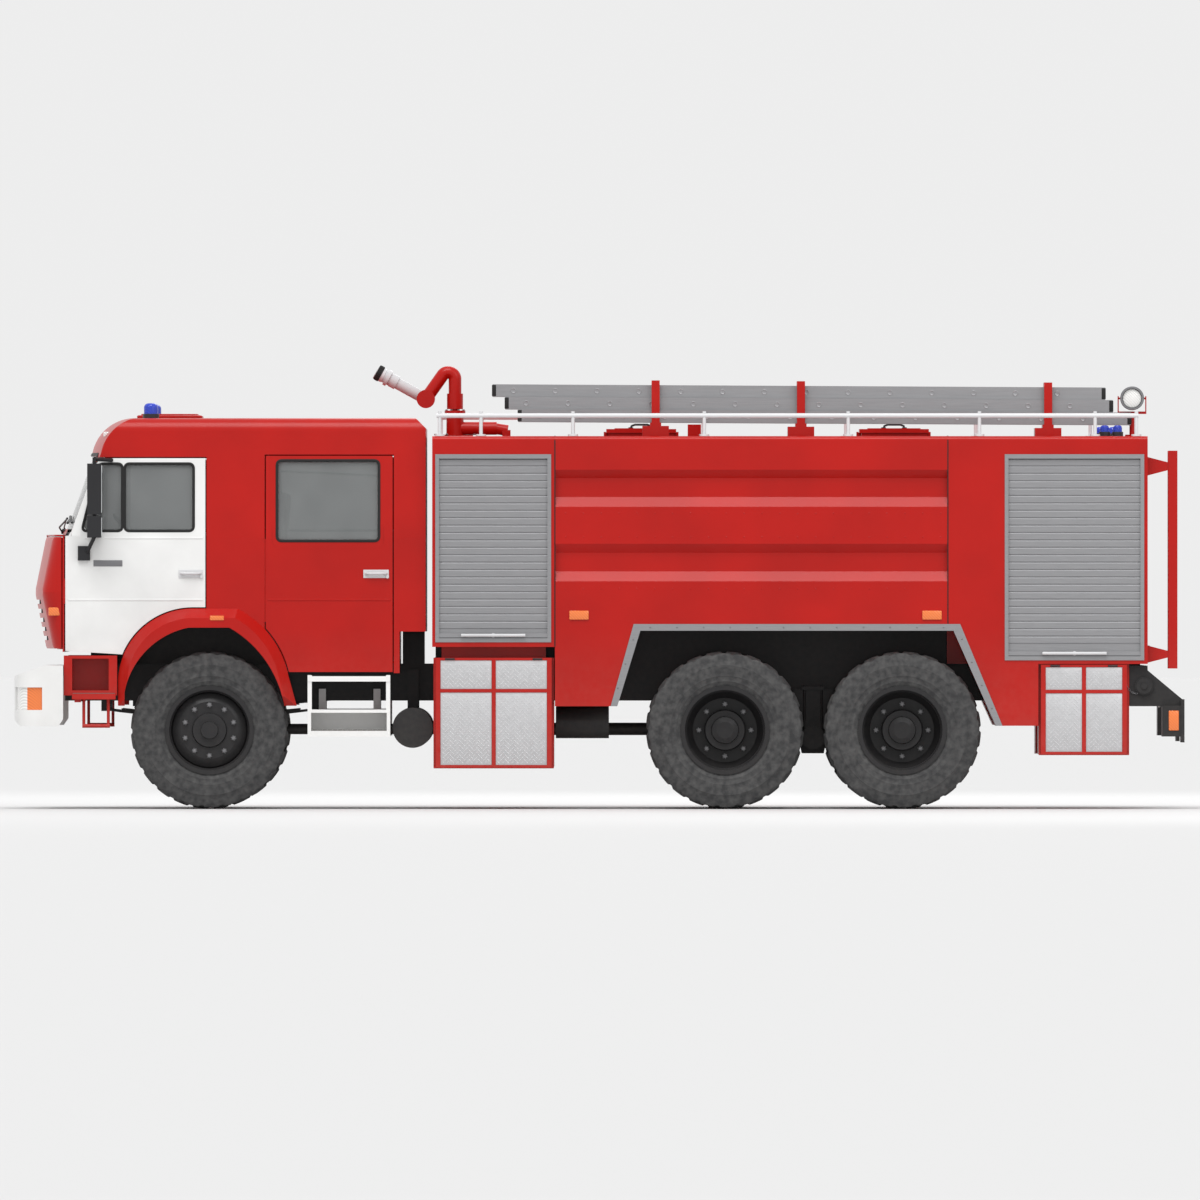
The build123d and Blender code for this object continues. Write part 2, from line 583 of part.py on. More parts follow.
with BuildPart() as windscreen:
    add(glass_skin.part)
    with BuildSketch(Plane.YZ.offset(nose_x - 50)) as screen_pane:
        with BuildLine():
            Polyline((-1040, 2005), (1040, 2005), (1000, 2535), (-1000, 2535), close=True)
        make_face()
        fillet(screen_pane.vertices(), radius=50)
        offset(amount=-pin_clearance)
    extrude(screen_pane.sketch, amount=600, dir=(1, 0, 0), mode=Mode.INTERSECT)
finish(windscreen.part, "windscreen")

quarter_window = [(front_axle_x - 788, 2470), (front_axle_x - 909, 1998), (front_axle_x - 628, 1998), (front_axle_x - 628, 2470)]
front_window = [(front_axle_x - 602, 2470), (front_axle_x - 602, 1998), (front_axle_x - 118, 1998), (front_axle_x - 118, 2470)]
crew_window = [(front_axle_x + 489, 2493), (front_axle_x + 489, 1926), (front_axle_x + 1211, 1926), (front_axle_x + 1211, 2493)]
crew_surround = [(front_axle_x + 447, 2519), (front_axle_x + 447, 1863), (front_axle_x + 1252, 1863), (front_axle_x + 1252, 2519)]


def window_outline(points, grow, plane, radius=35):
    """A window outline with round corners, grown or shrunk by grow."""
    with BuildSketch(plane) as window:
        with BuildLine():
            Polyline(*points, close=True)
        make_face()
        fillet(window.vertices(), radius=radius)
        if grow:
            offset(amount=grow)
    return window.sketch


def half_space(side):
    """The X-Z plane that one side's doors are cut from, and the way across it."""
    return Plane.XZ.offset(-side * (cab_half + 50)), (0, -side, 0)


door_list = (
    ("front", front_door_opening, (quarter_window, front_window)),
    ("crew", crew_door_opening, (crew_window,)),
)


def window_pane(points, plane, inward):
    """The glass of one window, a little smaller than its opening."""
    with BuildPart() as pane:
        add(glass_skin.part)
        extrude(window_outline(points, -pin_clearance, plane), amount=160, dir=inward, mode=Mode.INTERSECT)
    return pane.part


for side_name, side in sides:
    plane, inward = half_space(side)
    for door_name, opening, windows in door_list:
        with BuildPart() as door:
            add(cab_walls.part)
            extrude(door_outline(opening, gap, gap, plane), amount=140, dir=inward, mode=Mode.INTERSECT)
            for window in windows:
                extrude(window_outline(window, 0, plane), amount=160, dir=inward, mode=Mode.SUBTRACT)
            if door_name == "crew":
                recess = window_outline(crew_surround, 0, plane, 60)
                extrude(recess, amount=56, dir=inward, mode=Mode.SUBTRACT)
        finish(door.part, f"{door_name}_door_{side_name}")
        with BuildPart() as panes:
            for window in windows:
                add(window_pane(window, plane, inward))
        finish(panes.part, f"{door_name}_glass_{side_name}")

# Front panel: the hinged red grille flap, wrapped round both corners

panel_top_z = cowl_z - gap
panel_rear_x = door_front_x - 12 - gap
with BuildPart() as front_panel:
    add(cab_outside)
    add(cab_form(panel_thickness), mode=Mode.SUBTRACT)
    side_prism([(nose_x - 60, 1150), (panel_rear_x, 1150), (panel_rear_x, panel_top_z), (nose_x - 60, panel_top_z)],
               -cab_half - 60, cab_half + 60, mode=Mode.INTERSECT)
    add(corner_prism(grille_head[0], panel_top_z - 40, (0, 0, 60), nose_corner, panel_thickness), mode=Mode.SUBTRACT)
    for slot_z in (1210, 1275, 1340, 1405, 1470):
        block((nose_x - 60, nose_x + 200), (-820, 820), (slot_z, slot_z + 30), mode=Mode.SUBTRACT)
finish(front_panel.part, "front_panel")

# Cab floor: a stepped sheet over the front wheels and the engine

floor_line = [
    (door_front_x, 1150), (front_axle_x - 640, 1150), (front_axle_x - 560, 1330), (front_axle_x + 480, 1330),
    (front_axle_x + 640, 1060), (crew_rear_x - 8, 1060),
]
floor_sheet = 40
with BuildPart() as cab_floor:
    side_prism(floor_line + [(x, z + floor_sheet) for x, z in reversed(floor_line)], -cab_half + cab_wall + 1, cab_half - cab_wall - 1)
    side_prism([(front_axle_x - 600, 1370), (front_axle_x + 500, 1370), (front_axle_x + 470, 1520), (front_axle_x - 560, 1520)], -420, 420)
    for side in (-1, 1):
        block((front_axle_x + 60, front_axle_x + 340), (side * 500, side * (cab_half - cab_wall - 1)), (1365, 1400))
        block((door_front_x - 1, door_front_x + 130), (side * 1060, side * cab_half), (1140, 1200), mode=Mode.SUBTRACT)
finish(cab_floor.part, "cab_floor")

# Seats: two in front, a bench of four behind, each a cushion and a back

seat_rows = (
    (front_axle_x + 40, 1400, (-760, 760), 520, 470),
    (front_axle_x + 840, 1100, (-780, -265, 265, 780), 500, 450),
)
with BuildPart() as seats:
    for seat_x, foot_z, seat_ys, seat_width, seat_depth in seat_rows:
        for seat_y in seat_ys:
            side_prism(
                [(seat_x, foot_z + 0.3), (seat_x, foot_z + 400), (seat_x + seat_depth - 80, foot_z + 370), (seat_x + seat_depth + 20, foot_z + 950),
                 (seat_x + seat_depth + 110, foot_z + 950), (seat_x + seat_depth + 20, foot_z + 260), (seat_x + seat_depth - 60, foot_z + 0.3)]
                if foot_z < 1200 else
                [(seat_x, foot_z + 0.3), (seat_x - 20, foot_z + 330), (seat_x + seat_depth - 100, foot_z + 300),
                 (seat_x + seat_depth - 20, foot_z + 900), (seat_x + seat_depth + 70, foot_z + 900), (seat_x + seat_depth - 10, foot_z + 200),
                 (seat_x + 300, foot_z + 0.3)],
                seat_y - seat_width / 2, seat_y + seat_width / 2,
            )
finish(seats.part, "seats")

# Dashboard with the steering wheel on its column at the left

dash_x = (door_front_x + 0.3, door_front_x + 330)
with BuildPart() as dashboard:
    side_prism([(dash_x[0], 1640), (dash_x[0], 1900), (dash_x[0] + 60, 1950), (dash_x[1] - 60, 1905), (dash_x[1], 1800), (dash_x[1] - 60, 1680),
                (dash_x[1] - 200, 1640)], -cab_half + cab_wall + 60, cab_half - cab_wall - 60)
    wheel_centre = (dash_x[1] + 150, -700, 1930)
    rod((dash_x[1] - 120, -700, 1740), wheel_centre, 25)
    lean = (Vector(*wheel_centre) - Vector(dash_x[1] - 120, -700, 1740)).normalized()
    with BuildSketch(Plane(origin=wheel_centre, x_dir=(0, 1, 0), z_dir=lean)) as spokes:
        Rectangle(400, 34)
        Circle(60)
    extrude(spokes.sketch, amount=12, both=True)
    rim_start = Vector(*wheel_centre) + Vector(0, 215, 0)
    with BuildSketch(Plane(origin=rim_start, x_dir=(0, 1, 0), z_dir=lean.cross(Vector(0, 1, 0)))) as rim_section:
        Circle(17)
    revolve(rim_section.sketch, axis=Axis(wheel_centre, lean))
finish(dashboard.part, "dashboard")

# Wheel-arch flares: proud of the cab side, sloping up from their outer edge

flare_proud = body_half - cab_half


def arch_flare(side):
    """One flare, lofted from the cab side out to the body's width."""
    wall_plane = Plane.XZ.offset(-side * (cab_half + 0.3))
    face_plane = Plane.XZ.offset(-side * body_half)
    mouth_plane = Plane.XZ.offset(-side * (cab_half - 200))
    with BuildPart() as flare:
        loft([arch_outline(-2, wall_plane), arch_outline(-70, face_plane)], ruled=True)
        extrude(arch_mouth(0, mouth_plane), amount=400, dir=(0, side, 0), mode=Mode.SUBTRACT)
        block((arch_front_x - 50, front_axle_x + 700), (side * (cab_half - 100), side * (body_half + 50)), (300, skirt_z + 3),
              mode=Mode.SUBTRACT)
    return flare.part


with BuildPart() as arch_flares:
    for side in (-1, 1):
        add(arch_flare(side))
finish(arch_flares.part, "arch_flares")

# Steps: front step boxes with a hanging tread, crew steps below the crew doors

with BuildPart() as cab_steps:
    for side in (-1, 1):
        outer = side * (cab_half + 20)
        step_x = (bumper_rear_x + 4, arch_front_x - 4)
        block(step_x, (side * 900, outer), (814, 1100))
        block((step_x[0] + 60, step_x[1] - 60), (side * 980, side * (cab_half + 60)), (850, 1078), mode=Mode.SUBTRACT)
        block((step_x[0] + 77, step_x[0] + 122), (side * 1040, outer), (765, 815))
        block((front_axle_x - 984, front_axle_x - 672), (side * 930, side * (cab_half + 45)), (786, 827))
        for post_x in (front_axle_x - 900, front_axle_x - 724):
            rod((post_x, side * (cab_half - 20), 790), (post_x, side * (cab_half - 20), 600), 11)
        rod((front_axle_x - 911, side * (cab_half - 20), 596), (front_axle_x - 713, side * (cab_half - 20), 596), 14)
        block((step_x[0] + 30, step_x[0] + 110), (side * (rail_outer_y + 0.5), side * 905), (850, 930))
        crew_x = (front_axle_x + 704, front_axle_x + 1296)
        block(crew_x, (side * 960, side * (cab_half + 15)), (519, 713))
        block((crew_x[0] + 25, crew_x[1] - 25), (side * 985, side * (cab_half + 40)), (560, 690), mode=Mode.SUBTRACT)
        for post_x in (crew_x[0] + 15, crew_x[1] - 15):
            block((post_x - 15, post_x + 15), (side * (cab_half - 20), side * (cab_half + 10)), (700, 960))
        block(crew_x, (side * (cab_half - 30), side * (cab_half + 15)), (914, 952))
        for arm_x in (crew_x[0] + 100, crew_x[1] - 100):
            block((arm_x - 25, arm_x + 25), (side * (rail_outer_y + 0.5), side * 965), (620, 700))
            block((arm_x - 25, arm_x + 25), (side * (rail_outer_y + 0.5), side * (rail_outer_y + 50)), (690, 860))
finish(cab_steps.part, "cab_steps")

# Mirrors: one tall and one small head on arms from each front door

for side_name, side in sides:
    head_y = side * (cab_half + 130)
    with BuildPart() as mirrors:
        for head_z in ((2111, 2475), (1945, 2100)):
            block((front_axle_x - 872, front_axle_x - 772), (head_y - side * 110, head_y + side * 110), head_z)
        rod((front_axle_x - 822, head_y, 1960), (front_axle_x - 822, head_y, 2520), 14)
        rod((front_axle_x - 822, head_y, 2506), (front_axle_x - 700, side * (gutter_half + 13), 2500), 14)
        rod((front_axle_x - 822, head_y, 1950), (front_axle_x - 880, side * (cab_half + 12), 1830), 14)
        block((front_axle_x - 942, front_axle_x - 854), (side * (cab_half + 0.3), side * (cab_half + 30)), (1781, 1885))
    finish(mirrors.part, f"mirrors_{side_name}")

# Bodywork: front cabinet, tank body and rear cabinet with one arch over the bogie

rear_arch_top = 1326
trim_width = 48
arch_foot_front = (middle_axle_x - 820, skirt_z)
arch_head_front = (middle_axle_x - 655, rear_arch_top)
arch_head_rear = (rear_axle_x + 414, rear_arch_top)
arch_foot_rear = (rear_axle_x + 717, rear_skirt_z)
arch_spread = 60
wheelhouse_y = 520
shutter_depth = 60
front_frame_x = (body_front_x + 22, tank_front_x - 27)
front_frame_z = (1195, 2542)
rear_frame_x = (rear_cabinet_x + 407, body_rear_x - 25)
rear_frame_z = (1066, 2542)
front_flap_x = (body_front_x + 7, tank_front_x - 5)
front_flap_z = (297, 1084)
rear_flap_x = (rear_cabinet_x + 648, rear_cabinet_x + 1301)
rear_flap_z = (392, 1035)
groove_depth = 50
grooves = ((2431, 2372, 2236, 2165), (1901, 1837, 1703, 1631))


def wheelhouse(inward, mode=Mode.SUBTRACT):
    """Cut the space over the bogie wheels, inward from the trim's outer edge."""
    profile = [
        (arch_foot_front[0] + inward - arch_spread, 300), (arch_foot_front[0] + inward, skirt_z),
        (arch_head_front[0] + inward, rear_arch_top - inward), (arch_head_rear[0] - inward, rear_arch_top - inward),
        (arch_foot_rear[0] - inward, rear_skirt_z), (arch_foot_rear[0] - inward + arch_spread, 300),
    ]
    for side in (-1, 1):
        side_prism(profile, side * wheelhouse_y, side * (body_half + 20), mode=mode)


def locker(x, z, mode=Mode.ADD):
    """A lower locker on both sides, open outward behind its flap."""
    for side in (-1, 1):
        front_y = side * (body_half - flap_thickness - 12)
        back_y = side * (body_half - locker_depth)
        block(x, (back_y, front_y), z)
        block((x[0] + locker_wall, x[1] - locker_wall), (back_y + side * locker_wall, front_y + side * 5),
              (z[0] + locker_wall, z[1] - locker_wall), mode=Mode.SUBTRACT)
        hinge_y = side * (body_half - flap_thickness - 6)
        rod((x[0] + 2, hinge_y, z[0]), (x[1] - 2, hinge_y, z[0]), pin_radius)
        for tab_x in ((x[0], x[0] + 14), (x[1] - 14, x[1])):
            block(tab_x, (front_y - side * 4, hinge_y + side * 2), (z[0] - 2, z[0] + 12))


with BuildPart() as front_cabinet:
    block((body_front_x, tank_front_x), (-body_half, body_half), (1279, body_roof_z))
    for side in (-1, 1):
        block((body_front_x, tank_front_x), (side * (rail_outer_y + 8), side * body_half), (body_floor_z, 1280))
        block((front_frame_x[0] + 18, front_frame_x[1] - 18), (side * (body_half - shutter_depth), side * (body_half + 1)),
              (front_frame_z[0] + 18, front_frame_z[1] - 18), mode=Mode.SUBTRACT)
        block((front_flap_x[0] + 60, front_flap_x[1] - 60), (side * 640, side * 1100), (front_flap_z[1] - 5, body_floor_z + 5))
    locker((front_flap_x[0] + 2, front_flap_x[1] - 2), front_flap_z)
    fillet(front_cabinet.edges().filter_by(Axis.X).group_by(Axis.Z)[-1], radius=30)
finish(front_cabinet.part, "front_cabinet")

with BuildPart() as tank_body:
    block((tank_front_x, rear_cabinet_x), (-body_half, body_half), (subframe_top_z, body_roof_z))
    for side in (-1, 1):
        block((tank_front_x, rear_cabinet_x), (side * wheelhouse_y, side * body_half), (skirt_z, subframe_top_z + 1))
        for top, inner_top, inner_low, low in grooves:
            flat_y = side * (body_half - groove_depth)
            with BuildSketch(Plane.YZ.offset(tank_front_x)) as groove:
                with BuildLine():
                    Polyline((side * (body_half + 5), top + 6), (flat_y, inner_top), (flat_y, inner_low), (side * (body_half + 5), low - 6),
                             close=True)
                make_face()
            extrude(groove.sketch, amount=rear_cabinet_x - tank_front_x, dir=(1, 0, 0), mode=Mode.SUBTRACT)
    wheelhouse(trim_width)
    for side in (-1, 1):
        block((tank_front_x - 1, middle_axle_x - 600), (side * (wheelhouse_y - 10), side * (body_half - 60)), (skirt_z - 10, 1180),
              mode=Mode.SUBTRACT)
    fillet(tank_body.edges().filter_by(Axis.X).group_by(Axis.Z)[-1], radius=30)
    for hatch_x in ((middle_axle_x - 851, middle_axle_x - 347), (rear_axle_x - 297, rear_axle_x + 204)):
        block((hatch_x[0] + 15, hatch_x[1] - 15), (215, 685), (body_roof_z - 1, body_roof_z + 28))
        block((hatch_x[0] + 35, hatch_x[1] - 35), (235, 665), (body_roof_z - 400, body_roof_z + 40), mode=Mode.SUBTRACT)
        for lug_x in ((hatch_x[0] - 12, hatch_x[0] + 16), (hatch_x[1] - 16, hatch_x[1] + 12)):
            block(lug_x, (684, 716), (body_roof_z - 1, body_roof_z + 28))
        for lug_x in ((hatch_x[0] - 18, hatch_x[0] - 2), (hatch_x[1] + 2, hatch_x[1] + 18)):
            block(lug_x, (696, 716), (body_roof_z - 1, body_roof_z + 40))
        rod((hatch_x[0] - 16, 706, body_roof_z + 30), (hatch_x[1] + 16, 706, body_roof_z + 30), pin_radius)
    block((tank_front_x + 955, tank_front_x + 1051), (240, 340), (body_roof_z - 1, body_roof_z + 91))
finish(tank_body.part, "tank_body")

rear_shutter_y = 600
with BuildPart() as rear_cabinet:
    block((rear_cabinet_x, body_rear_x), (-body_half, body_half), (subframe_top_z, body_roof_z))
    for side in (-1, 1):
        block((rear_cabinet_x, body_rear_x), (side * (rail_outer_y + 8), side * body_half), (rear_skirt_z + 443, subframe_top_z + 1))
        block((rear_cabinet_x, rear_flap_x[0]), (side * wheelhouse_y, side * body_half), (rear_skirt_z, subframe_top_z))
    wheelhouse(trim_width)
    for side in (-1, 1):
        block((rear_frame_x[0] + 18, rear_frame_x[1] - 18), (side * (body_half - shutter_depth), side * (body_half + 1)),
              (rear_frame_z[0] + 18, rear_frame_z[1] - 18), mode=Mode.SUBTRACT)
    block((body_rear_x - shutter_depth, body_rear_x + 1), (-rear_shutter_y + 18, rear_shutter_y - 18), (1130, 2360), mode=Mode.SUBTRACT)
    locker((rear_flap_x[0] + 2, rear_flap_x[1] - 2), (rear_flap_z[0], rear_flap_z[1] + 6))
    fillet(rear_cabinet.edges().filter_by(Axis.X).group_by(Axis.Z)[-1], radius=30)
finish(rear_cabinet.part, "rear_cabinet")

# Roller shutters: an aluminium frame and a curtain of interlocking slats

slat_pitch = 53
slat_thickness = 12


def shutter(plane, width, bottom, top):
    """A framed shutter on a plane whose x runs along it and z points outward."""
    with BuildSketch(plane) as surround:
        with Locations((width / 2, (bottom + top) / 2)):
            Rectangle(width, top - bottom)
            Rectangle(width - 54, top - bottom - 60, mode=Mode.SUBTRACT)
    with BuildSketch(plane) as guides:
        with Locations((width / 2, (bottom + top) / 2)):
            Rectangle(width - 38, top - bottom - 38)
            Rectangle(width - 54, top - bottom - 60, mode=Mode.SUBTRACT)
    section_points = [(-27, top - 22), (-19, top - 22)]
    for slat in range(int((top - bottom - 110) / slat_pitch)):
        slat_top = top - 34 - slat * slat_pitch
        section_points += [(-19, slat_top), (-14, slat_top - 6), (-14, slat_top - slat_pitch + 8), (-19, slat_top - slat_pitch + 2)]
    section_points += [(-19, bottom + 68), (0, bottom + 64), (0, bottom + 34), (-19, bottom + 30), (-19, bottom + 22), (-27, bottom + 22)]
    edge = Plane(origin=plane.from_local_coords((25, 0, 0)), x_dir=plane.z_dir, z_dir=-plane.x_dir)
    curtain = outline_sketch(section_points, edge)
    with BuildPart() as one_shutter:
        extrude(surround.sketch, amount=6)
        extrude(guides.sketch, amount=-30)
        extrude(curtain, amount=width - 50, dir=plane.x_dir)
    return one_shutter.part


with BuildPart() as roller_shutters:
    for side in (-1, 1):
        for frame_x, frame_z in ((front_frame_x, front_frame_z), (rear_frame_x, rear_frame_z)):
            start_x = frame_x[0] if side < 0 else frame_x[1]
            wall = Plane(origin=(start_x, side * body_half, 0), x_dir=(-side, 0, 0), z_dir=(0, side, 0))
            add(shutter(wall, frame_x[1] - frame_x[0], *frame_z))
    back = Plane(origin=(body_rear_x, -rear_shutter_y, 0), x_dir=(0, 1, 0), z_dir=(1, 0, 0))
    add(shutter(back, 2 * rear_shutter_y, 1112, 2378))
finish(roller_shutters.part, "roller_shutters")

# Arch trim: one bent grey strip round each bogie arch

with BuildPart() as arch_trim:
    for side in (-1, 1):
        trim = [
            (arch_foot_front[0], skirt_z), arch_head_front, arch_head_rear, (arch_foot_rear[0], rear_skirt_z),
            (arch_foot_rear[0] - trim_width, rear_skirt_z), (arch_head_rear[0] - trim_width, rear_arch_top - trim_width),
            (arch_head_front[0] + trim_width, rear_arch_top - trim_width), (arch_foot_front[0] + trim_width, skirt_z),
        ]
        side_prism(trim, side * body_half, side * (body_half + 6))
finish(arch_trim.part, "arch_trim")

# Lower flaps: hinged at the foot, they fold out level as standing steps

for side_name, side in sides:
    for place, x, z in (("front", front_flap_x, front_flap_z), ("rear", rear_flap_x, rear_flap_z)):
        with BuildPart() as flap:
            block((x[0] + 18, x[1] - 18), (side * (body_half - flap_thickness), side * body_half), z)
            middle_x = (x[0] + x[1]) / 2
            middle_z = z[0] + (z[1] - z[0]) * 0.7
            for panel_x in ((x[0] + 52, middle_x - 14), (middle_x + 14, x[1] - 52)):
                for panel_z in ((z[0] + 18, middle_z - 12), (middle_z + 12, z[1] - 18)):
                    block(panel_x, (side * (body_half - 8), side * (body_half + 1)), panel_z, mode=Mode.SUBTRACT)
        finish(flap.part, f"{place}_flap_{side_name}")

# Roof: rails, ladder stack, clamps, hatches and the pump's feed pipe

rail_y = body_half - 55
roof_rail_z = body_roof_z + 147
post_x = [body_front_x + offset for offset in (53, 349, 1008, 1949, 2980, 3920, 4749, 5045)]
ladder_y = -740
ladder_drop = 0.0053
ladder_pitch = 90
stile_depth = ladder_pitch - 0.8
stile_width = 28
ladder_rows = (
    (body_front_x + 615, 4394, 2776, 520),
    (body_front_x + 522, 4357, 2776 + ladder_pitch, 480),
    (body_front_x + 431, 4394, 2776 + 2 * ladder_pitch, 440),
)


def ladder_plane(x, z, y):
    """A plane lying along the ladders, which fall slightly to the rear."""
    along = Vector(1, 0, -ladder_drop).normalized()
    return Plane(origin=(x, y, z), x_dir=along, z_dir=(0, -1, 0))


def ladder_section(start_x, length, low_z, width):
    """One ladder of the stack: two stiles and the rungs between them."""
    with BuildPart() as section:
        for stile_y in (-width / 2, width / 2 - stile_width):
            with BuildSketch(ladder_plane(start_x, low_z, ladder_y + stile_y)) as stile:
                Rectangle(length, stile_depth, align=(Align.MIN, Align.MIN))
            extrude(stile.sketch, amount=stile_width, dir=(0, 1, 0))
        for rung in range(int(length / 300)):
            rung_x = start_x + 150 + rung * 300
            rung_z = low_z + stile_depth / 2 - (rung_x - start_x) * ladder_drop
            rod((rung_x, ladder_y - width / 2 + 5, rung_z), (rung_x, ladder_y + width / 2 - 5, rung_z), 15)
    return section.part


with BuildPart() as roof_ladders:
    for row in ladder_rows:
        add(ladder_section(*row))
finish(roof_ladders.part, "roof_ladders")

lamp_centre = (body_rear_x - 108, -950, 2944)
lamp_yoke = 103
with BuildPart() as roof_rails:
    for side in (-1, 1):
        rod((body_front_x + 31, side * rail_y, roof_rail_z), (body_rear_x - 66, side * rail_y, roof_rail_z), 17)
        for x in post_x:
            rod((x, side * rail_y, body_roof_z), (x, side * rail_y, roof_rail_z + 31), 13)
            rod((x, side * rail_y, body_roof_z), (x, side * rail_y, body_roof_z + 14), 36)
    for clamp_x in (body_front_x + 1601, body_front_x + 2643, body_front_x + 4415):
        stack_low = ladder_rows[0][2] - (clamp_x + 95 - ladder_rows[0][0]) * ladder_drop
        stack_top = ladder_rows[2][2] + stile_depth - (clamp_x - 60 - ladder_rows[2][0]) * ladder_drop
        block((clamp_x - 95, clamp_x + 95), (ladder_y - 290, ladder_y + 290), (body_roof_z, stack_low - 24))
        block((clamp_x - 40, clamp_x + 40), (ladder_y - 290, ladder_y + 290), (stack_low - 25, stack_low - 0.6))
        for side in (-1, 1):
            block((clamp_x - 29, clamp_x + 29), (ladder_y + side * 264, ladder_y + side * 288), (body_roof_z, stack_top + 33))
        block((clamp_x - 29, clamp_x + 29), (ladder_y - 288, ladder_y + 288), (stack_top + 3, stack_top + 33))
    rod((lamp_centre[0], lamp_centre[1], body_roof_z), (lamp_centre[0], lamp_centre[1], 2840), 18)
    rod((lamp_centre[0], lamp_centre[1], body_roof_z), (lamp_centre[0], lamp_centre[1], body_roof_z + 12), 50)
    block((lamp_centre[0] - lamp_yoke, lamp_centre[0] + lamp_yoke), (lamp_centre[1] - 20, lamp_centre[1] + 20), (2832, 2850))
    for end in (-1, 1):
        arm_x = (lamp_centre[0] + end * (lamp_yoke - 8), lamp_centre[0] + end * lamp_yoke)
        block(arm_x, (lamp_centre[1] - 20, lamp_centre[1] + 20), (2832, lamp_centre[2] + 16))
        rod((lamp_centre[0] + end * 80, *lamp_centre[1:]), (lamp_centre[0] + end * lamp_yoke, *lamp_centre[1:]), 7)
finish(roof_rails.part, "roof_rails")

for hatch_name, hatch_x in (("front_hatch", (middle_axle_x - 851, middle_axle_x - 347)), ("rear_hatch", (rear_axle_x - 297, rear_axle_x + 204))):
    with BuildPart() as hatch:
        block(hatch_x, (200, 700), (body_roof_z + 30, body_roof_z + 58))
        block((hatch_x[0] + 60, hatch_x[1] - 60), (260, 640), (body_roof_z + 57, body_roof_z + 64))
    finish(hatch.part, hatch_name)

# Water cannon: base and feed pipe, the turning riser and the tilting barrel

cannon_x = body_front_x + 158
swivel_z = body_roof_z + 200
pipe_radius = 46
elbow = (cannon_x - 210, 0, 2945)
riser_top_z = 3135

with BuildPart() as cannon_base:
    rod((cannon_x, 0, body_roof_z), (cannon_x, 0, body_roof_z + 157), 62)
    rod((cannon_x, 0, body_roof_z + 157), (cannon_x, 0, body_roof_z + 190), 75)
    rod((cannon_x, 0, body_roof_z + 189), (cannon_x, 0, swivel_z + 60), 34)
    rod((cannon_x, 0, body_roof_z + 62), (cannon_x + 300, 0, body_roof_z + 62), 47)
    rod((cannon_x + 290, 0, body_roof_z + 60), (cannon_x + 380, 0, body_roof_z + 46), 40)
    block((cannon_x + 340, cannon_x + 400), (-45, 45), (body_roof_z, body_roof_z + 50))
    block((cannon_x - 130, cannon_x + 130), (-130, 130), (body_roof_z, body_roof_z + 14))
finish(cannon_base.part, "cannon_base")

with BuildPart() as cannon_arm:
    rod((cannon_x, 0, swivel_z), (cannon_x, 0, swivel_z + 112), 58)
    rod((cannon_x, 0, swivel_z + 100), (cannon_x, 0, riser_top_z - 60), pipe_radius)
    with BuildLine() as waterway:
        FilletPolyline((cannon_x, 0, riser_top_z - 75), (cannon_x, 0, riser_top_z + 1), (cannon_x - 75, 0, riser_top_z + 1), elbow, radius=47)
    with BuildSketch(Plane(origin=waterway.line @ 0, z_dir=(0, 0, 1))) as bore_section:
        Circle(pipe_radius)
    sweep(bore_section.sketch, path=waterway.line)
    rod((elbow[0], -60, elbow[2]), (elbow[0], 60, elbow[2]), 66)
    rod((elbow[0], 55, elbow[2]), (elbow[0], 90, elbow[2]), 30)
    rod((cannon_x, 0, swivel_z - 1), (cannon_x, 0, swivel_z + 61), 34 + pin_clearance, mode=Mode.SUBTRACT)
finish(cannon_arm.part, "cannon_arm")

barrel_y = 108
barrel_tip = (cannon_x - 568, barrel_y, 3143)
with BuildPart() as cannon_barrel:
    rod((elbow[0], 60.5, elbow[2]), (elbow[0], 158, elbow[2]), 62)
    rod((elbow[0], 50, elbow[2]), (elbow[0], 91, elbow[2]), 30 + pin_clearance, mode=Mode.SUBTRACT)
    start = Vector(elbow[0], barrel_y, elbow[2])
    aim = (Vector(*barrel_tip) - start).normalized()
    reach = (Vector(*barrel_tip) - start).length
    for begin, end, radius in ((0.1, 0.62, 42), (0.58, 0.7, 50), (0.68, 0.86, 47), (0.74, 0.8, 60), (0.84, 1.0, 52)):
        rod(start + aim * reach * begin, start + aim * reach * end, radius)
    rod(start + aim * reach * 0.8, start + aim * (reach + 1), 36, mode=Mode.SUBTRACT)
    rod((elbow[0], 50, elbow[2]), (elbow[0], 91, elbow[2]), 30 + pin_clearance, mode=Mode.SUBTRACT)
finish(cannon_barrel.part, "cannon_barrel")

# Searchlight held in the yoke at the left rear corner, and the lamps

with BuildPart() as searchlight:
    turned([(-70, 0), (-70, 45), (-40, 76), (62, 84), (80, 84), (80, 70), (60, 66), (60, 0)], lamp_centre, -1)
    rod((lamp_centre[0] - 90, lamp_centre[1], lamp_centre[2]), (lamp_centre[0] + 90, lamp_centre[1], lamp_centre[2]), 7 + pin_clearance,
        mode=Mode.SUBTRACT)
finish(searchlight.part, "searchlight")


def beacon(x, y, base_z, radius, top_z):
    """A round beacon: a base ring and a domed lens as one turned solid."""
    with BuildSketch(Plane(origin=(x, y, 0), x_dir=(1, 0, 0), z_dir=(0, -1, 0))) as half:
        with BuildLine():
            Polyline((radius * 0.45, top_z), (0, top_z), (0, base_z), (radius + 8, base_z), (radius + 8, base_z + 30),
                     (radius, base_z + 32), (radius, top_z - radius * 0.6))
            ThreePointArc((radius, top_z - radius * 0.6), (radius * 0.83, top_z - radius * 0.2), (radius * 0.45, top_z))
        make_face()
    with BuildPart() as one_beacon:
        revolve(half.sketch, axis=Axis((x, y, 0), (0, 0, 1)))
    return one_beacon.part


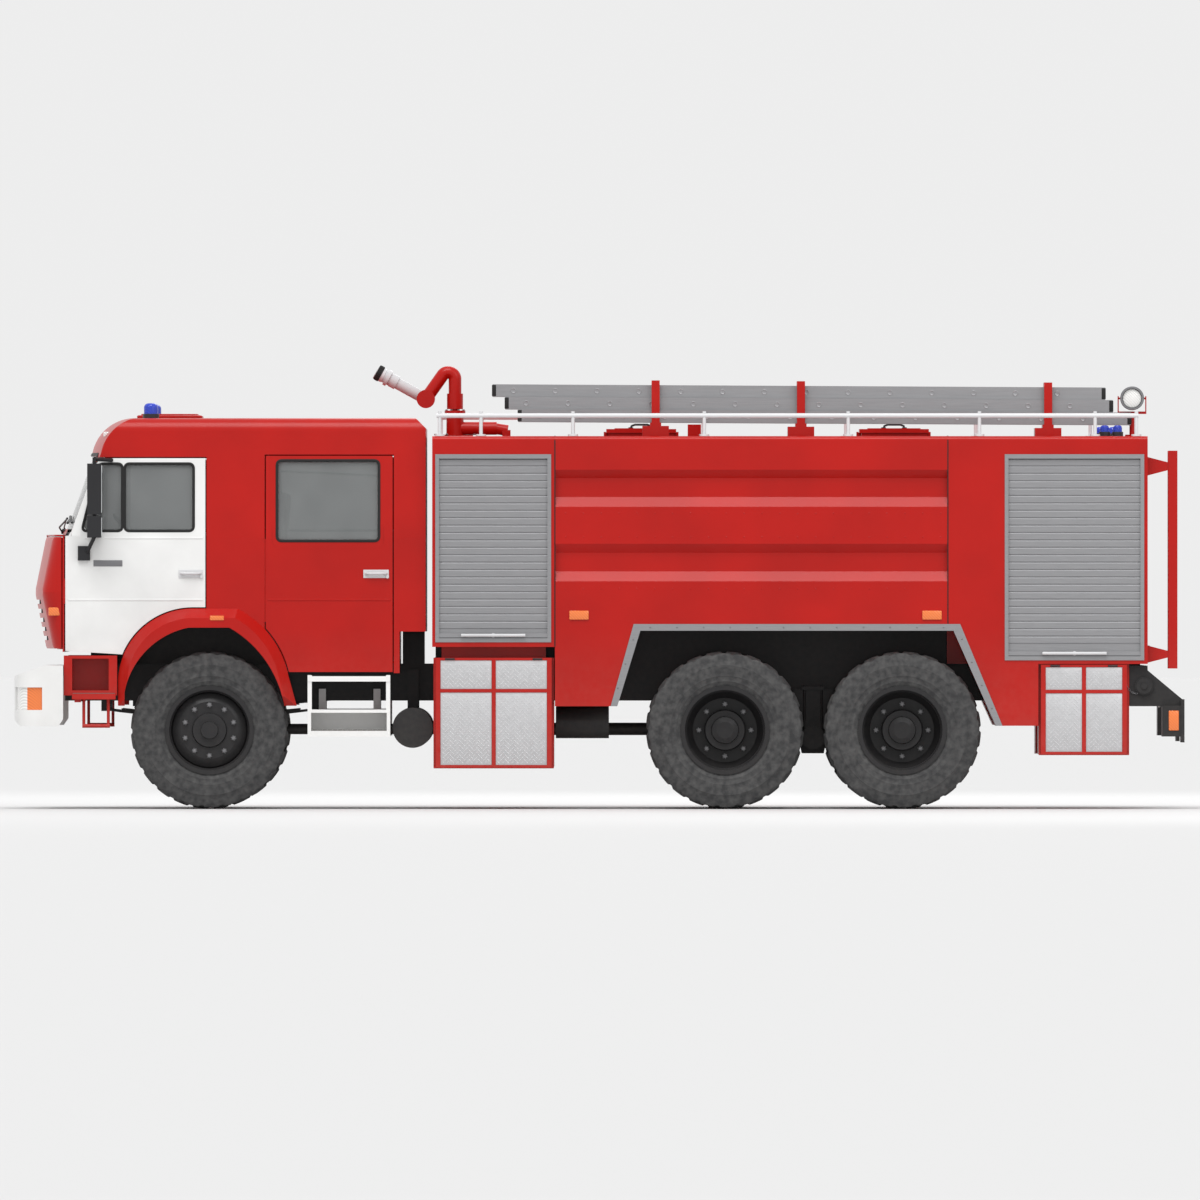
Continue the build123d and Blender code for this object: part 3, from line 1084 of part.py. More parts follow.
with BuildPart() as lamps:
    for side in (-1, 1):
        add(headlamp(side))
        add(beacon(front_axle_x - 422, side * 860, cab_roof_z, 51, 2910))
        for beacon_x in (body_rear_x - 306, body_rear_x - 213):
            add(beacon(beacon_x, side * 1090, body_roof_z, 32, body_roof_z + 78))
finish(lamps.part, "lamps")

# Rear ladder on the rear wall, left of the pump shutter

rear_ladder_y = (-1120, -740)
with BuildPart() as rear_ladder:
    for y in rear_ladder_y:
        block((body_rear_x + 151, body_rear_x + 215), (y - 18, y + 18), (1007, 2568))
        for arm_z in ((2390, 2523), (1048, 1172)):
            side_prism([(body_rear_x + 0.3, arm_z[0]), (body_rear_x + 155, arm_z[0] + 40), (body_rear_x + 155, arm_z[1] - 40),
                        (body_rear_x + 0.3, arm_z[1])], y - 12, y + 12)
    for rung in range(5):
        rung_z = 1120 + rung * 300
        rod((body_rear_x + 183, rear_ladder_y[0], rung_z), (body_rear_x + 183, rear_ladder_y[1], rung_z), 15)
finish(rear_ladder.part, "rear_ladder")

# Rear bumper: gusseted brackets, a cross beam, lamp boxes and capped outlets

with BuildPart() as rear_bumper:
    for side in (-1, 1):
        side_prism([(body_rear_x - 130, 1028), (body_rear_x + 0, 1028), (body_rear_x + 1, 994), (rear_end_x - 8, 781), (rear_end_x - 8, skirt_z),
                    (body_rear_x - 130, skirt_z)], side * 1130, side * 1190)
        side_prism([(body_rear_x - 130, 1028), (body_rear_x + 0, 1028), (body_rear_x + 1, 994), (rear_end_x - 8, 781), (rear_end_x - 8, skirt_z),
                    (body_rear_x - 130, skirt_z)], side * (rail_outer_y + 0.5), side * (rail_outer_y + 30))
        block((body_rear_x + 105, body_rear_x + 251), (side * 800, side * 1235), (520, skirt_z + 5))
        block((rear_end_x - 25, rear_end_x), (side * 795, side * 1240), (478, 787))
        block((rear_end_x - 8, rear_end_x + 1), (side * 815, side * 1220), (500, 765), mode=Mode.SUBTRACT)
        turned([(1180, 0), (1180, 66), (1215, 66), (1215, 56), (1228, 56), (1228, 22), (1240, 22), (1240, 0)], (body_rear_x - 25, 0, 881), side)
    block((body_rear_x - 39.7, body_rear_x + 100), (-1190, 1190), (skirt_z, skirt_z + 90))
finish(rear_bumper.part, "rear_bumper")

# Wheels: turned rims, single at the front and twin at the two rear axles

tread_half = 132
bead_half = 122


def tyre(centre, outward):
    """One tyre ring with bulging walls and a slightly crowned tread."""
    plane = Plane(origin=centre, x_dir=(0, outward, 0), z_dir=(outward, 0, 0))
    bulge = tyre_width / 2
    bead_top = flange_radius + 2
    wall_middle = (bulge, rim_seat_radius + 125)
    with BuildSketch(plane) as ring:
        with BuildLine():
            Polyline((-bead_half, bead_top), (-bead_half, rim_seat_radius), (bead_half, rim_seat_radius), (bead_half, bead_top))
            ThreePointArc((bead_half, bead_top), wall_middle, (tread_half, tyre_radius - 18))
            ThreePointArc((tread_half, tyre_radius - 18), (0, tyre_radius), (-tread_half, tyre_radius - 18))
            ThreePointArc((-tread_half, tyre_radius - 18), (-wall_middle[0], wall_middle[1]), (-bead_half, bead_top))
        make_face()
    with BuildPart() as one_tyre:
        revolve(ring.sketch, axis=Axis(centre, (0, 1, 0)))
    return one_tyre.part


def rim_barrel(middle):
    """Outline of a rim's barrel and flanges about the distance middle."""
    edge = rim_width / 2
    return [
        (middle - edge, flange_radius), (middle - edge + 9, flange_radius), (middle - edge + 9, rim_seat_radius - 0.3),
        (middle + edge - 9, rim_seat_radius - 0.3), (middle + edge - 9, flange_radius), (middle + edge, flange_radius),
        (middle + edge, rim_seat_radius - 12), (middle + edge - 30, rim_seat_radius - 12), (middle + edge - 50, rim_seat_radius - 26),
        (middle - edge + 50, rim_seat_radius - 26), (middle - edge + 30, rim_seat_radius - 12), (middle - edge, rim_seat_radius - 12),
    ]


for side_name, side in sides:
    centre = (front_axle_x, side * front_wheel_y, hub_z)
    with BuildPart() as front_tyre:
        add(tyre(centre, side))
    finish(front_tyre.part, f"front_tyre_{side_name}")
    with BuildPart() as front_rim:
        turned(rim_barrel(0), centre, side)
        turned([(40, 280), (62, 262), (88, 205), (88, 127), (112, 118), (112, 64), (150, 60), (150, 0), (60, 0), (60, 200), (36, 262), (20, 280)],
               centre, side)
        turned([(-8, 0), (-8, 200), (62, 200), (62, 0)], centre, side)
        rod((front_axle_x, side * (kingpin_y + 45), hub_z), (front_axle_x, side * (kingpin_y + 125), hub_z), spindle_radius + pin_clearance, mode=Mode.SUBTRACT)
        with Locations(Plane(origin=(front_axle_x, side * (front_wheel_y + 88), hub_z), z_dir=(0, side, 0))):
            with PolarLocations(182, 10):
                Cylinder(17, 24, align=(Align.CENTER, Align.CENTER, Align.MIN))
    finish(front_rim.part, f"front_rim_{side_name}")
    for axle_name, axle_x in (("middle", middle_axle_x), ("rear", rear_axle_x)):
        middle = (axle_x, side * twin_mid_y, hub_z)
        with BuildPart() as twin_tyres:
            for offset_y in (-twin_spacing / 2, twin_spacing / 2):
                add(tyre((axle_x, side * (twin_mid_y + offset_y), hub_z), side))
        finish(twin_tyres.part, f"{axle_name}_tyres_{side_name}")
        with BuildPart() as twin_rims:
            for offset_y in (-twin_spacing / 2, twin_spacing / 2):
                turned(rim_barrel(offset_y), middle, side)
            turned([(-60, 276), (-12, 230), (-12, 0), (12, 0), (12, 230), (60, 276), (48, 288), (-48, 288)], middle, side)
            turned([(10, 0), (10, 149), (95, 149), (110, 140), (110, 99), (138, 94), (150, 60), (150, 0)], middle, side)
            turned([(-190, 0), (-190, 205), (-10, 205), (-10, 0)], middle, side)
            rod((axle_x, side * (twin_mid_y - 195), hub_z), (axle_x, side * (twin_mid_y + 65), hub_z), hub_bore_radius, mode=Mode.SUBTRACT)
            with Locations(Plane(origin=(axle_x, side * (twin_mid_y + 12), hub_z), z_dir=(0, side, 0))):
                with PolarLocations(187, 8):
                    Cylinder(17, 34, align=(Align.CENTER, Align.CENTER, Align.MIN))
        finish(twin_rims.part, f"{axle_name}_rims_{side_name}")

# Steering: knuckles on the kingpins and the track rod between their arms

arm_reach = 180
knuckle_half = fork_half_height - fork_ear - 1
for side_name, side in sides:
    with BuildPart() as knuckle:
        rod((front_axle_x, side * kingpin_y, hub_z - knuckle_half), (front_axle_x, side * kingpin_y, hub_z + knuckle_half), 44)
        rod((front_axle_x, side * kingpin_y, hub_z - fork_half_height - 6), (front_axle_x, side * kingpin_y, hub_z + fork_half_height + 6),
            kingpin_radius)
        rod((front_axle_x, side * kingpin_y, hub_z), (front_axle_x, side * (kingpin_y + 120), hub_z), spindle_radius)
        rod((front_axle_x, side * kingpin_y, hub_z - 60), (front_axle_x + arm_reach, side * kingpin_y, hub_z - 60), 20)
        rod((front_axle_x + arm_reach, side * kingpin_y, hub_z - 84), (front_axle_x + arm_reach, side * kingpin_y, hub_z - 36), 26)
    finish(knuckle.part, f"knuckle_{side_name}")

with BuildPart() as track_rod:
    rod_x = front_axle_x + arm_reach
    rod((rod_x, -kingpin_y, hub_z - 102), (rod_x, kingpin_y, hub_z - 102), 15)
    for side in (-1, 1):
        rod((rod_x, side * kingpin_y, hub_z - 120), (rod_x, side * kingpin_y, hub_z - 84.5), 26)
finish(track_rod.part, "track_rod")
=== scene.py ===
from math import cos, pi, radians, sin

import bmesh
import bpy
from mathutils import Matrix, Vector
from mathutils.bvhtree import BVHTree


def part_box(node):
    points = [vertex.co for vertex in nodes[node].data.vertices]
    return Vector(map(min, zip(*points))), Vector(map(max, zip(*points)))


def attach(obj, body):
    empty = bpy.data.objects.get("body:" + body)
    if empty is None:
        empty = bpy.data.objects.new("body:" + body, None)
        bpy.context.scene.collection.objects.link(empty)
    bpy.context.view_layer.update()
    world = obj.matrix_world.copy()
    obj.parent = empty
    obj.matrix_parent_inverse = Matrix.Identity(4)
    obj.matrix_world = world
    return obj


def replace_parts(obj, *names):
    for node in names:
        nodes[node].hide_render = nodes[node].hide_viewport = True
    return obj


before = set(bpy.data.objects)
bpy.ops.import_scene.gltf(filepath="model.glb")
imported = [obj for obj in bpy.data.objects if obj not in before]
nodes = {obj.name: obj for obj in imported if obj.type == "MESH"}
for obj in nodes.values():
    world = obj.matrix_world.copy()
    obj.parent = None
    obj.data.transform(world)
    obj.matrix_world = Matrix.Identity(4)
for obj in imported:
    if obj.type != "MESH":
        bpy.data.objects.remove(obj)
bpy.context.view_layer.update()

# The studio: a plain pale floor that runs far past the picture, a soft pale sky, a
# broad key light from above the left side, and two large softboxes behind.


def put_in_scene(name, data):
    """A new object in the scene, made of a mesh, a light or a camera."""
    thing = bpy.data.objects.new(name, data)
    bpy.context.scene.collection.objects.link(thing)
    return thing


floor_half = 400
floor_corners = [(x * floor_half, y * floor_half, 0) for x, y in ((-1, -1), (1, -1), (1, 1), (-1, 1))]
floor_mesh = bpy.data.meshes.new("studio_floor")
floor_mesh.from_pydata(floor_corners, [], [(0, 1, 2, 3)])
floor_paper = bpy.data.materials.new("pale_studio_floor")
floor_paper.use_nodes = True
floor_shader = floor_paper.node_tree.nodes["Principled BSDF"]
floor_shader.inputs["Base Color"].default_value = (0.62, 0.62, 0.62, 1)
floor_shader.inputs["Roughness"].default_value = 0.85
floor_mesh.materials.append(floor_paper)
put_in_scene("studio_floor", floor_mesh)

sky = bpy.data.worlds.new("pale_sky")
sky.use_nodes = True
sky.node_tree.nodes["Background"].inputs["Color"].default_value = (1.0, 1.0, 1.0, 1)
sky.node_tree.nodes["Background"].inputs["Strength"].default_value = 0.85
bpy.context.scene.world = sky
bpy.context.scene.view_settings.view_transform = "Standard"

aim = Vector((0, 0, 1.2))
for light_name, place, size, power in (
    ("rear_softbox", Vector((9.0, -12.0, 10.0)), 8.0, 350.0),
    ("far_softbox", Vector((2.0, 14.0, 12.0)), 9.0, 500.0),
):
    softbox = bpy.data.lights.new(light_name, "AREA")
    softbox.size = size
    softbox.energy = power
    lamp = put_in_scene(light_name, softbox)
    lamp.location = place
    lamp.rotation_euler = (aim - place).to_track_quat("-Z", "Y").to_euler()

key_light = bpy.data.lights.new("key_light", "SUN")
key_light.energy = 1.9
key_light.angle = radians(38)
key_aim = Vector((2.0, 8.0, -14.0))
put_in_scene("key_light", key_light).rotation_euler = key_aim.to_track_quat("-Z", "Y").to_euler()

# The camera stands far off on the left side with a very long lens, because the
# picture shows almost no perspective. One of its 1200 pixels is 7.2 mm here.

metres_per_pixel = 0.0072
view_width = 1200 * metres_per_pixel
view_distance = 240.0
view_centre = Vector((0.013, 0.0, 1.498))
camera_data = bpy.data.cameras.new("side_camera")
camera_data.sensor_width = 36.0
camera_data.lens = 36.0 * view_distance / view_width
camera_data.clip_end = 2000.0
side_camera = put_in_scene("side_camera", camera_data)
side_camera.location = view_centre + Vector((0, -view_distance, 0))
side_camera.rotation_euler = (pi / 2, 0, 0)
bpy.context.scene.camera = side_camera

# Chassis: two steel channel rails with cross members, tanks, axles, leaf springs and
# steering. Everything is welded or bolted up and sprayed satin black, and it is
# dusted by the road.


def fill(tree, node, values):
    """Sets a node's inputs. A value that is another node's output is linked in."""
    for port, value in values.items():
        if isinstance(value, bpy.types.NodeSocket):
            tree.links.new(value, node.inputs[port])
        else:
            node.inputs[port].default_value = value


def add_node(tree, kind, values, **modes):
    """A new node of a kind, with its modes chosen and its inputs filled."""
    node = tree.nodes.new("ShaderNode" + kind)
    for mode, choice in modes.items():
        setattr(node, mode, choice)
    fill(tree, node, values)
    return node


def new_finish(name):
    """A finish with its node tree, its shader, and the place on the piece."""
    finish = bpy.data.materials.new(name)
    finish.use_nodes = True
    tree = finish.node_tree
    place = tree.nodes.new("ShaderNodeTexCoord").outputs["Object"]
    return finish, tree, tree.nodes["Principled BSDF"], place


def shade(tree, amount, dark, light, dark_at=0.0, light_at=1.0):
    """A colour that runs from dark to light with the amount of a pattern."""
    tone = add_node(tree, "ValToRGB", {"Fac": amount})
    for stop, colour, position in zip(tone.color_ramp.elements, (dark, light), (dark_at, light_at)):
        stop.position = position
        stop.color = (*colour, 1)
    return tone.outputs["Color"]


def relief(tree, amount, strength, distance):
    """A fine relief of the surface that follows a pattern."""
    bump = add_node(tree, "Bump", {"Height": amount, "Strength": strength, "Distance": distance})
    return bump.outputs["Normal"]


def sprayed_over(tree, place, first, colour, axis, low, high):
    """A second colour over the first, where the distance from the middle is between low and high."""
    along = add_node(tree, "SeparateXYZ", {"Vector": place}).outputs[axis]
    distance = add_node(tree, "Math", {0: along}, operation="ABSOLUTE").outputs["Value"]
    past_low = add_node(tree, "Math", {0: distance, 1: low}, operation="GREATER_THAN").outputs["Value"]
    before_high = add_node(tree, "Math", {0: distance, 1: high}, operation="LESS_THAN").outputs["Value"]
    unmasked = add_node(tree, "Math", {0: past_low, 1: before_high}, operation="MULTIPLY").outputs["Value"]
    return add_node(tree, "Mix", {0: unmasked, 6: first, 7: (*colour, 1)}, data_type="RGBA").outputs[2]


dust_colour = (0.30, 0.26, 0.21, 1)
dust_top_z = 1.3
dust_full_z = 0.2


def enamel(name, colour, dusty, roughness=0.28, scuffs=0.0, second=None):
    """Sprayed enamel: a slight cloudiness, orange peel, and dust that thickens downward."""
    paint, tree, shader, place = new_finish(name)
    cloud = add_node(tree, "TexNoise", {"Vector": place, "Scale": 2.2, "Detail": 6.0}).outputs["Fac"]
    tone = shade(tree, cloud, [part * 0.86 for part in colour], colour, 0.3, 0.7)
    if second:
        tone = sprayed_over(tree, place, tone, *second)
    height = add_node(tree, "SeparateXYZ", {"Vector": place}).outputs["Z"]
    low = add_node(tree, "MapRange", {"Value": height, "From Min": dust_top_z, "From Max": dust_full_z,
                                      "To Min": scuffs, "To Max": dusty}).outputs["Result"]
    speckle = add_node(tree, "TexNoise", {"Vector": place, "Scale": 26.0, "Detail": 8.0}).outputs["Fac"]
    amount = add_node(tree, "Math", {0: low, 1: speckle}, operation="MULTIPLY").outputs["Value"]
    dusted = add_node(tree, "Mix", {0: amount, 6: tone, 7: dust_colour}, data_type="RGBA").outputs[2]
    gloss = add_node(tree, "MapRange", {"Value": amount, "To Min": roughness, "To Max": 0.75})
    fill(tree, shader, {
        "Base Color": dusted, "Roughness": gloss.outputs["Result"],
        "Normal": relief(tree, speckle, 0.05, 0.002),
        "Specular IOR Level": 0.2, "Coat Weight": 0.1, "Coat Roughness": 0.12,
    })
    return paint


def finish_nodes(material, *node_names):
    """Give carried-over pieces their finish."""
    for node_name in node_names:
        mesh = nodes[node_name].data
        mesh.materials.clear()
        mesh.materials.append(material)


chassis_paint = enamel("chassis_paint", (0.016, 0.016, 0.018), 0.12, 0.5, 0.03)
finish_nodes(chassis_paint, "chassis_frame", "front_axle", "rear_axles", "knuckle_left", "knuckle_right",
             "track_rod", "cab_floor")

# Driveline: the engine block, gearbox, transfer case and shafts. These are rough
# iron castings, greyer than the frame, with an oily film over the road dust.

cast_metal = enamel("cast_metal", (0.030, 0.030, 0.033), 0.2, 0.55, 0.1)
finish_nodes(cast_metal, "driveline")

# Wheels: pressed steel discs welded into wide rims and painted near black. The wheel
# nuts are bare steel on their studs, and the hubs carry a hexagon cap in front and
# a round bolted cap behind.


def add_turned(shape, outline, centre, axis, segments=48):
    """Adds a turned form to a shape: outline points are (distance along the axis, radius)."""
    axis = Vector(axis).normalized()
    across = axis.orthogonal().normalized()
    other = axis.cross(across)
    rings = []
    for step in range(segments):
        turn = 2 * pi * step / segments
        out = across * cos(turn) + other * sin(turn)
        rings.append([shape.verts.new(Vector(centre) + axis * along + out * radius)
                      for along, radius in outline])
    for ring, following in zip(rings, rings[1:] + rings[:1]):
        for index in range(len(ring) - 1):
            shape.faces.new((ring[index], ring[index + 1], following[index + 1], following[index]))
    bmesh.ops.remove_doubles(shape, verts=[corner for ring in rings for corner in ring], dist=0.00001)


def place_piece(name, shape, body, slot_name, *materials):
    """Turns a finished shape into a named piece that rides on its body."""
    bmesh.ops.recalc_face_normals(shape, faces=shape.faces)
    data = bpy.data.meshes.new(name)
    shape.to_mesh(data)
    shape.free()
    data.shade_smooth()
    data.set_sharp_from_angle(angle=radians(35))
    for material in materials:
        data.materials.append(material)
    piece = put_in_scene(name, data)
    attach(piece, body)
    return piece


rim_paint = enamel("rim_paint", (0.018, 0.018, 0.020), 0.06, 0.36, 0.02)
bare_steel = enamel("bare_steel", (0.22, 0.22, 0.23), 0.1, 0.4, 0.05)
bare_steel.node_tree.nodes["Principled BSDF"].inputs["Metallic"].default_value = 0.7
sides = (("left", -1), ("right", 1))
nut_outline = [(-0.020, 0.0205), (-0.016, 0.0205), (-0.016, 0.016), (0.008, 0.016), (0.010, 0.0138),
               (0.010, 0.0075)]
stud_outline = [(0.006, 0.0075), (0.015, 0.0075), (0.016, 0.0065), (0.016, 0)]
for side, outward in sides:
    for wheel, rim, stud_count, stud_circle, stud_out in (
        ("front_wheel_", "front_rim_", 10, 0.182, 1.137),
        ("middle_wheels_", "middle_rims_", 8, 0.187, 0.971),
        ("rear_wheels_", "rear_rims_", 8, 0.187, 0.971),
    ):
        finish_nodes(rim_paint, rim + side)
        low, high = (Vector(corner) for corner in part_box(rim + side))
        middle = (low + high) / 2
        nuts = bmesh.new()
        for stud in range(stud_count):
            turn = 2 * pi * stud / stud_count
            nut_centre = (middle.x + stud_circle * sin(turn), outward * stud_out,
                          middle.z + stud_circle * cos(turn))
            add_turned(nuts, nut_outline, nut_centre, (0, outward, 0), 6)
            add_turned(nuts, stud_outline, nut_centre, (0, outward, 0), 10)
        place_piece(f"{wheel}{side}_nuts", nuts, wheel + side, "rim_black", bare_steel)

# Tyres: wide tubeless tyres of black rubber, moulded with raised rings on the walls,
# a ribbed shoulder and a block tread. They are seated on the rims by air pressure.

tyre_rubber, rubber_tree, rubber_shader, rubber_place = new_finish("tyre_rubber")
rubber_noise = add_node(rubber_tree, "TexNoise", {"Vector": rubber_place, "Scale": 24.0, "Detail": 9.0})
rubber_cloud = rubber_noise.outputs["Fac"]
fill(rubber_tree, rubber_shader, {
    "Base Color": shade(rubber_tree, rubber_cloud, (0.026, 0.026, 0.027), (0.070, 0.069, 0.068), 0.35, 0.72),
    "Normal": relief(rubber_tree, rubber_cloud, 0.25, 0.002), "Roughness": 0.8,
})

tyre_radius = 0.565
bead_radius = 0.3005
tyre_walls = [
    (-0.121, bead_radius), (-0.1215, 0.3195), (-0.136, 0.345), (-0.1395, 0.352), (-0.1385, 0.357),
    (-0.147, 0.385), (-0.150, 0.391), (-0.149, 0.397), (-0.1535, 0.425), (-0.1525, 0.460),
    (-0.1535, 0.466), (-0.1500, 0.472), (-0.145, 0.505), (-0.1405, 0.528), (-0.133, 0.546),
]
tread_half = [(-0.122, 0.5525), (-0.092, 0.559), (-0.088, 0.560), (-0.050, 0.563), (-0.046, 0.5635),
              (-0.004, tyre_radius)]
tread_lines = tread_half + [(-across, out) for across, out in reversed(tread_half)]
tyre_outline = tyre_walls + tread_lines + [(-across, out) for across, out in reversed(tyre_walls)]
block_steps = 9
groove_steps = 2
tyre_steps = 24 * block_steps
tread_groove = 0.013
shoulder_groove = 0.006


def is_groove(step):
    """True where a groove runs across the tread."""
    return step % block_steps < groove_steps


def tread_cut(across, step):
    """How far a tread point is moulded in: ribs along the tread and grooves across it."""
    if abs(abs(across) - 0.090) < 0.003 or abs(across) < 0.005:
        return tread_groove
    shift = 0 if abs(across) < 0.06 else block_steps // 2
    return tread_groove if is_groove(step + shift) else 0.0


def make_tyre(name, body, centre):
    """One moulded tyre about its axle."""
    shape = bmesh.new()
    rings = []
    first_line = len(tyre_walls)
    shoulders = (first_line - 1, first_line + len(tread_lines))
    for step in range(tyre_steps):
        turn = 2 * pi * step / tyre_steps
        ring = []
        for index, (across, out) in enumerate(tyre_outline):
            if index in shoulders and is_groove(step + block_steps // 2):
                out -= shoulder_groove
            elif shoulders[0] < index < shoulders[1]:
                out -= tread_cut(across, step)
            ring.append(shape.verts.new(centre + Vector((out * cos(turn), across, out * sin(turn)))))
        rings.append(ring)
    for ring, following in zip(rings, rings[1:] + rings[:1]):
        for index in range(len(ring)):
            after = (index + 1) % len(ring)
            shape.faces.new((ring[index], ring[after], following[after], following[index]))
    return place_piece(name, shape, body, "tyre", tyre_rubber)


twin_spacing = 0.330
for side, outward in sides:
    for axle, wheels, tyres, places in (
        ("front", "front_wheel_", "front_tyre_", {"": 0}),
        ("middle", "middle_wheels_", "middle_tyres_", {"_inner": -0.5, "_outer": 0.5}),
        ("rear", "rear_wheels_", "rear_tyres_", {"_inner": -0.5, "_outer": 0.5}),
    ):
        low, high = (Vector(corner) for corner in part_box(tyres + side))
        for place, shift in places.items():
            centre = (low + high) / 2 + Vector((0, shift * outward * twin_spacing, 0))
            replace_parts(make_tyre(f"{axle}{place}_tread_{side}", wheels + side, centre), tyres + side)

# Front bumper: a rolled steel box the full width of the vehicle, with a sloping
# step on top and wrapped corners. It is painted white and bolted to the rail ends.

white_enamel = enamel("white_enamel", (0.78, 0.78, 0.77), 0.12)
finish_nodes(white_enamel, "front_bumper")

# Headlamps: moulded lens units let into the bumper's corners, clear in front of the
# driving lamps and orange round the corner for the turn lamps. Above and behind on
# the roof stand the blue beacons, domes screwed to black bases.


def lens_plastic(name, colour, glow):
    """Moulded lens plastic with fine flutes."""
    lens, tree, shader, place = new_finish(name)
    flutes = add_node(tree, "TexWave", {"Vector": place, "Scale": 30.0, "Distortion": 0.4},
                      bands_direction="DIAGONAL")
    fill(tree, shader, {
        "Base Color": shade(tree, flutes.outputs["Fac"], [part * 0.72 for part in colour], colour),
        "Normal": relief(tree, flutes.outputs["Fac"], 0.3, 0.002), "Roughness": 0.12,
        "Emission Color": (*colour, 1), "Emission Strength": glow,
    })
    return lens


def separate_shells(node_name):
    """The loose solids of a carried-over piece, each as a list of faces' corners."""
    source = bmesh.new()
    source.from_mesh(nodes[node_name].data)
    bmesh.ops.remove_doubles(source, verts=source.verts, dist=0.00002)
    waiting = set(source.verts)
    shells = []
    while waiting:
        reached = [waiting.pop()]
        shell = set(reached)
        while reached:
            corner = reached.pop()
            for edge in corner.link_edges:
                other = edge.other_vert(corner)
                if other in waiting:
                    waiting.remove(other)
                    shell.add(other)
                    reached.append(other)
        faces = sorted({face for corner in shell for face in corner.link_faces}, key=lambda face: face.index)
        shells.append([[corner.co.copy() for corner in face.verts] for face in faces])
    source.free()
    return sorted(shells, key=lambda shell: tuple(round(value, 4) for value in shell[0][0]))


lamp_white = lens_plastic("lamp_white", (0.82, 0.82, 0.80), 0.05)
lamp_orange = lens_plastic("lamp_orange", (0.80, 0.20, 0.05), 0.08)
beacon_blue = lens_plastic("beacon_blue", (0.02, 0.05, 0.48), 0.12)
lamp_red = lens_plastic("lamp_red", (0.55, 0.02, 0.015), 0.05)
lamp_paint = enamel("lamp_paint", (0.035, 0.035, 0.037), 0.1, 0.35)
turn_lamp_x = -4.092
turn_lamp_y = 1.160
beacon_base_height = 0.0315
lowest_beacon_z = 2.0
for count, shell in enumerate(separate_shells("lamps")):
    base_z = min(corner.z for face in shell for corner in face)
    round_lamp = base_z > lowest_beacon_z
    unit = bmesh.new()
    for face in shell:
        made = unit.faces.new([unit.verts.new(corner) for corner in face])
        middle = made.calc_center_median()
        if round_lamp:
            made.material_index = int(middle.z < base_z + beacon_base_height)
        else:
            made.material_index = int(abs(middle.y) > turn_lamp_y and middle.x > turn_lamp_x)
    bmesh.ops.remove_doubles(unit, verts=unit.verts, dist=0.00002)
    finishes = (beacon_blue, lamp_paint) if round_lamp else (lamp_white, lamp_orange)
    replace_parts(place_piece(f"lamp_unit_{count}", unit, "root", "lamp_glass", *finishes), "lamps")

# Cab: welded steel panels in glossy red enamel, standing over the front wheels. The
# panels are pressed, spot welded and sprayed. The grille panel is hinged at its top.


def add_tube(shape, points, radius, facing, closed=False, facets=10, flat=1.0):
    """Adds a bar bent through points. It is flat times as thick towards facing as it is wide."""
    points = [Vector(point) for point in points]
    facing = Vector(facing).normalized()
    count = len(points)
    rings = []
    for index, point in enumerate(points):
        before = points[index - 1] if closed or index else point
        after = points[(index + 1) % count] if closed or index < count - 1 else point
        along = (after - before).normalized()
        across = along.cross(facing).normalized()
        outward = across.cross(along)
        turns = [2 * pi * step / facets for step in range(facets)]
        rings.append([
            shape.verts.new(point + across * radius * cos(turn) + outward * radius * flat * sin(turn))
            for turn in turns
        ])
    for index in range(count if closed else count - 1):
        ring, following = rings[index], rings[(index + 1) % count]
        for step in range(facets):
            after = (step + 1) % facets
            shape.faces.new((ring[step], ring[after], following[after], following[step]))
    if not closed:
        shape.faces.new(rings[0])
        shape.faces.new(rings[-1])


def add_slab(shape, x, y, z, edge=0.003):
    """Adds a flat bar or plate between two values each way, with its edges rounded over."""
    corners = bmesh.ops.create_cube(shape, size=1.0)["verts"]
    spans = [(min(span), max(span)) for span in (x, y, z)]
    for corner in corners:
        corner.co = Vector([low + (part + 0.5) * (high - low) for part, (low, high) in zip(corner.co, spans)])
    edges = list({side for corner in corners for side in corner.link_edges})
    bmesh.ops.bevel(shape, geom=edges, offset=edge, segments=2, profile=0.5, affect="EDGES")


def surface_of(*node_names):
    """A finder for points on the outside of carried-over pieces."""
    skin = bmesh.new()
    for node_name in node_names:
        skin.from_mesh(nodes[node_name].data)
    found = BVHTree.FromBMesh(skin)
    skin.free()
    return found


def on_side(skin, outward, x, z, proud=0.0):
    """The point on a side panel at x and z, stood off by proud."""
    hit = skin.ray_cast(Vector((x, outward * 1.5, z)), Vector((0, -outward, 0)))[0]
    return hit + Vector((0, outward * proud, 0))


def on_front(skin, y, z, proud=0.0):
    """The point on a forward-facing panel at y and z, stood off by proud."""
    hit = skin.ray_cast(Vector((-6.0, y, z)), Vector((1, 0, 0)))[0]
    return hit - Vector((proud, 0, 0))


engine_red = (0.43, 0.006, 0.003)
red_enamel = enamel("red_enamel", engine_red, 0.16, 0.32)
finish_nodes(red_enamel, "cab_roof", "cab_front", "cab_sides", "front_panel", "crew_door_left",
             "crew_door_right")
black_plastic = enamel("black_plastic", (0.022, 0.022, 0.024), 0.15, 0.5)
cab_skin = surface_of("cab_roof", "cab_front", "cab_sides")
panel_skin = surface_of("front_panel")

roof_trim = bmesh.new()
add_slab(roof_trim, (-3.315, -2.846), (-0.42, 0.42), (2.802, 2.826), 0.010)
add_slab(roof_trim, (-3.285, -2.876), (-0.39, 0.39), (2.824, 2.836), 0.006)
place_piece("roof_hatch_plate", roof_trim, "root", "red_paint", red_enamel)

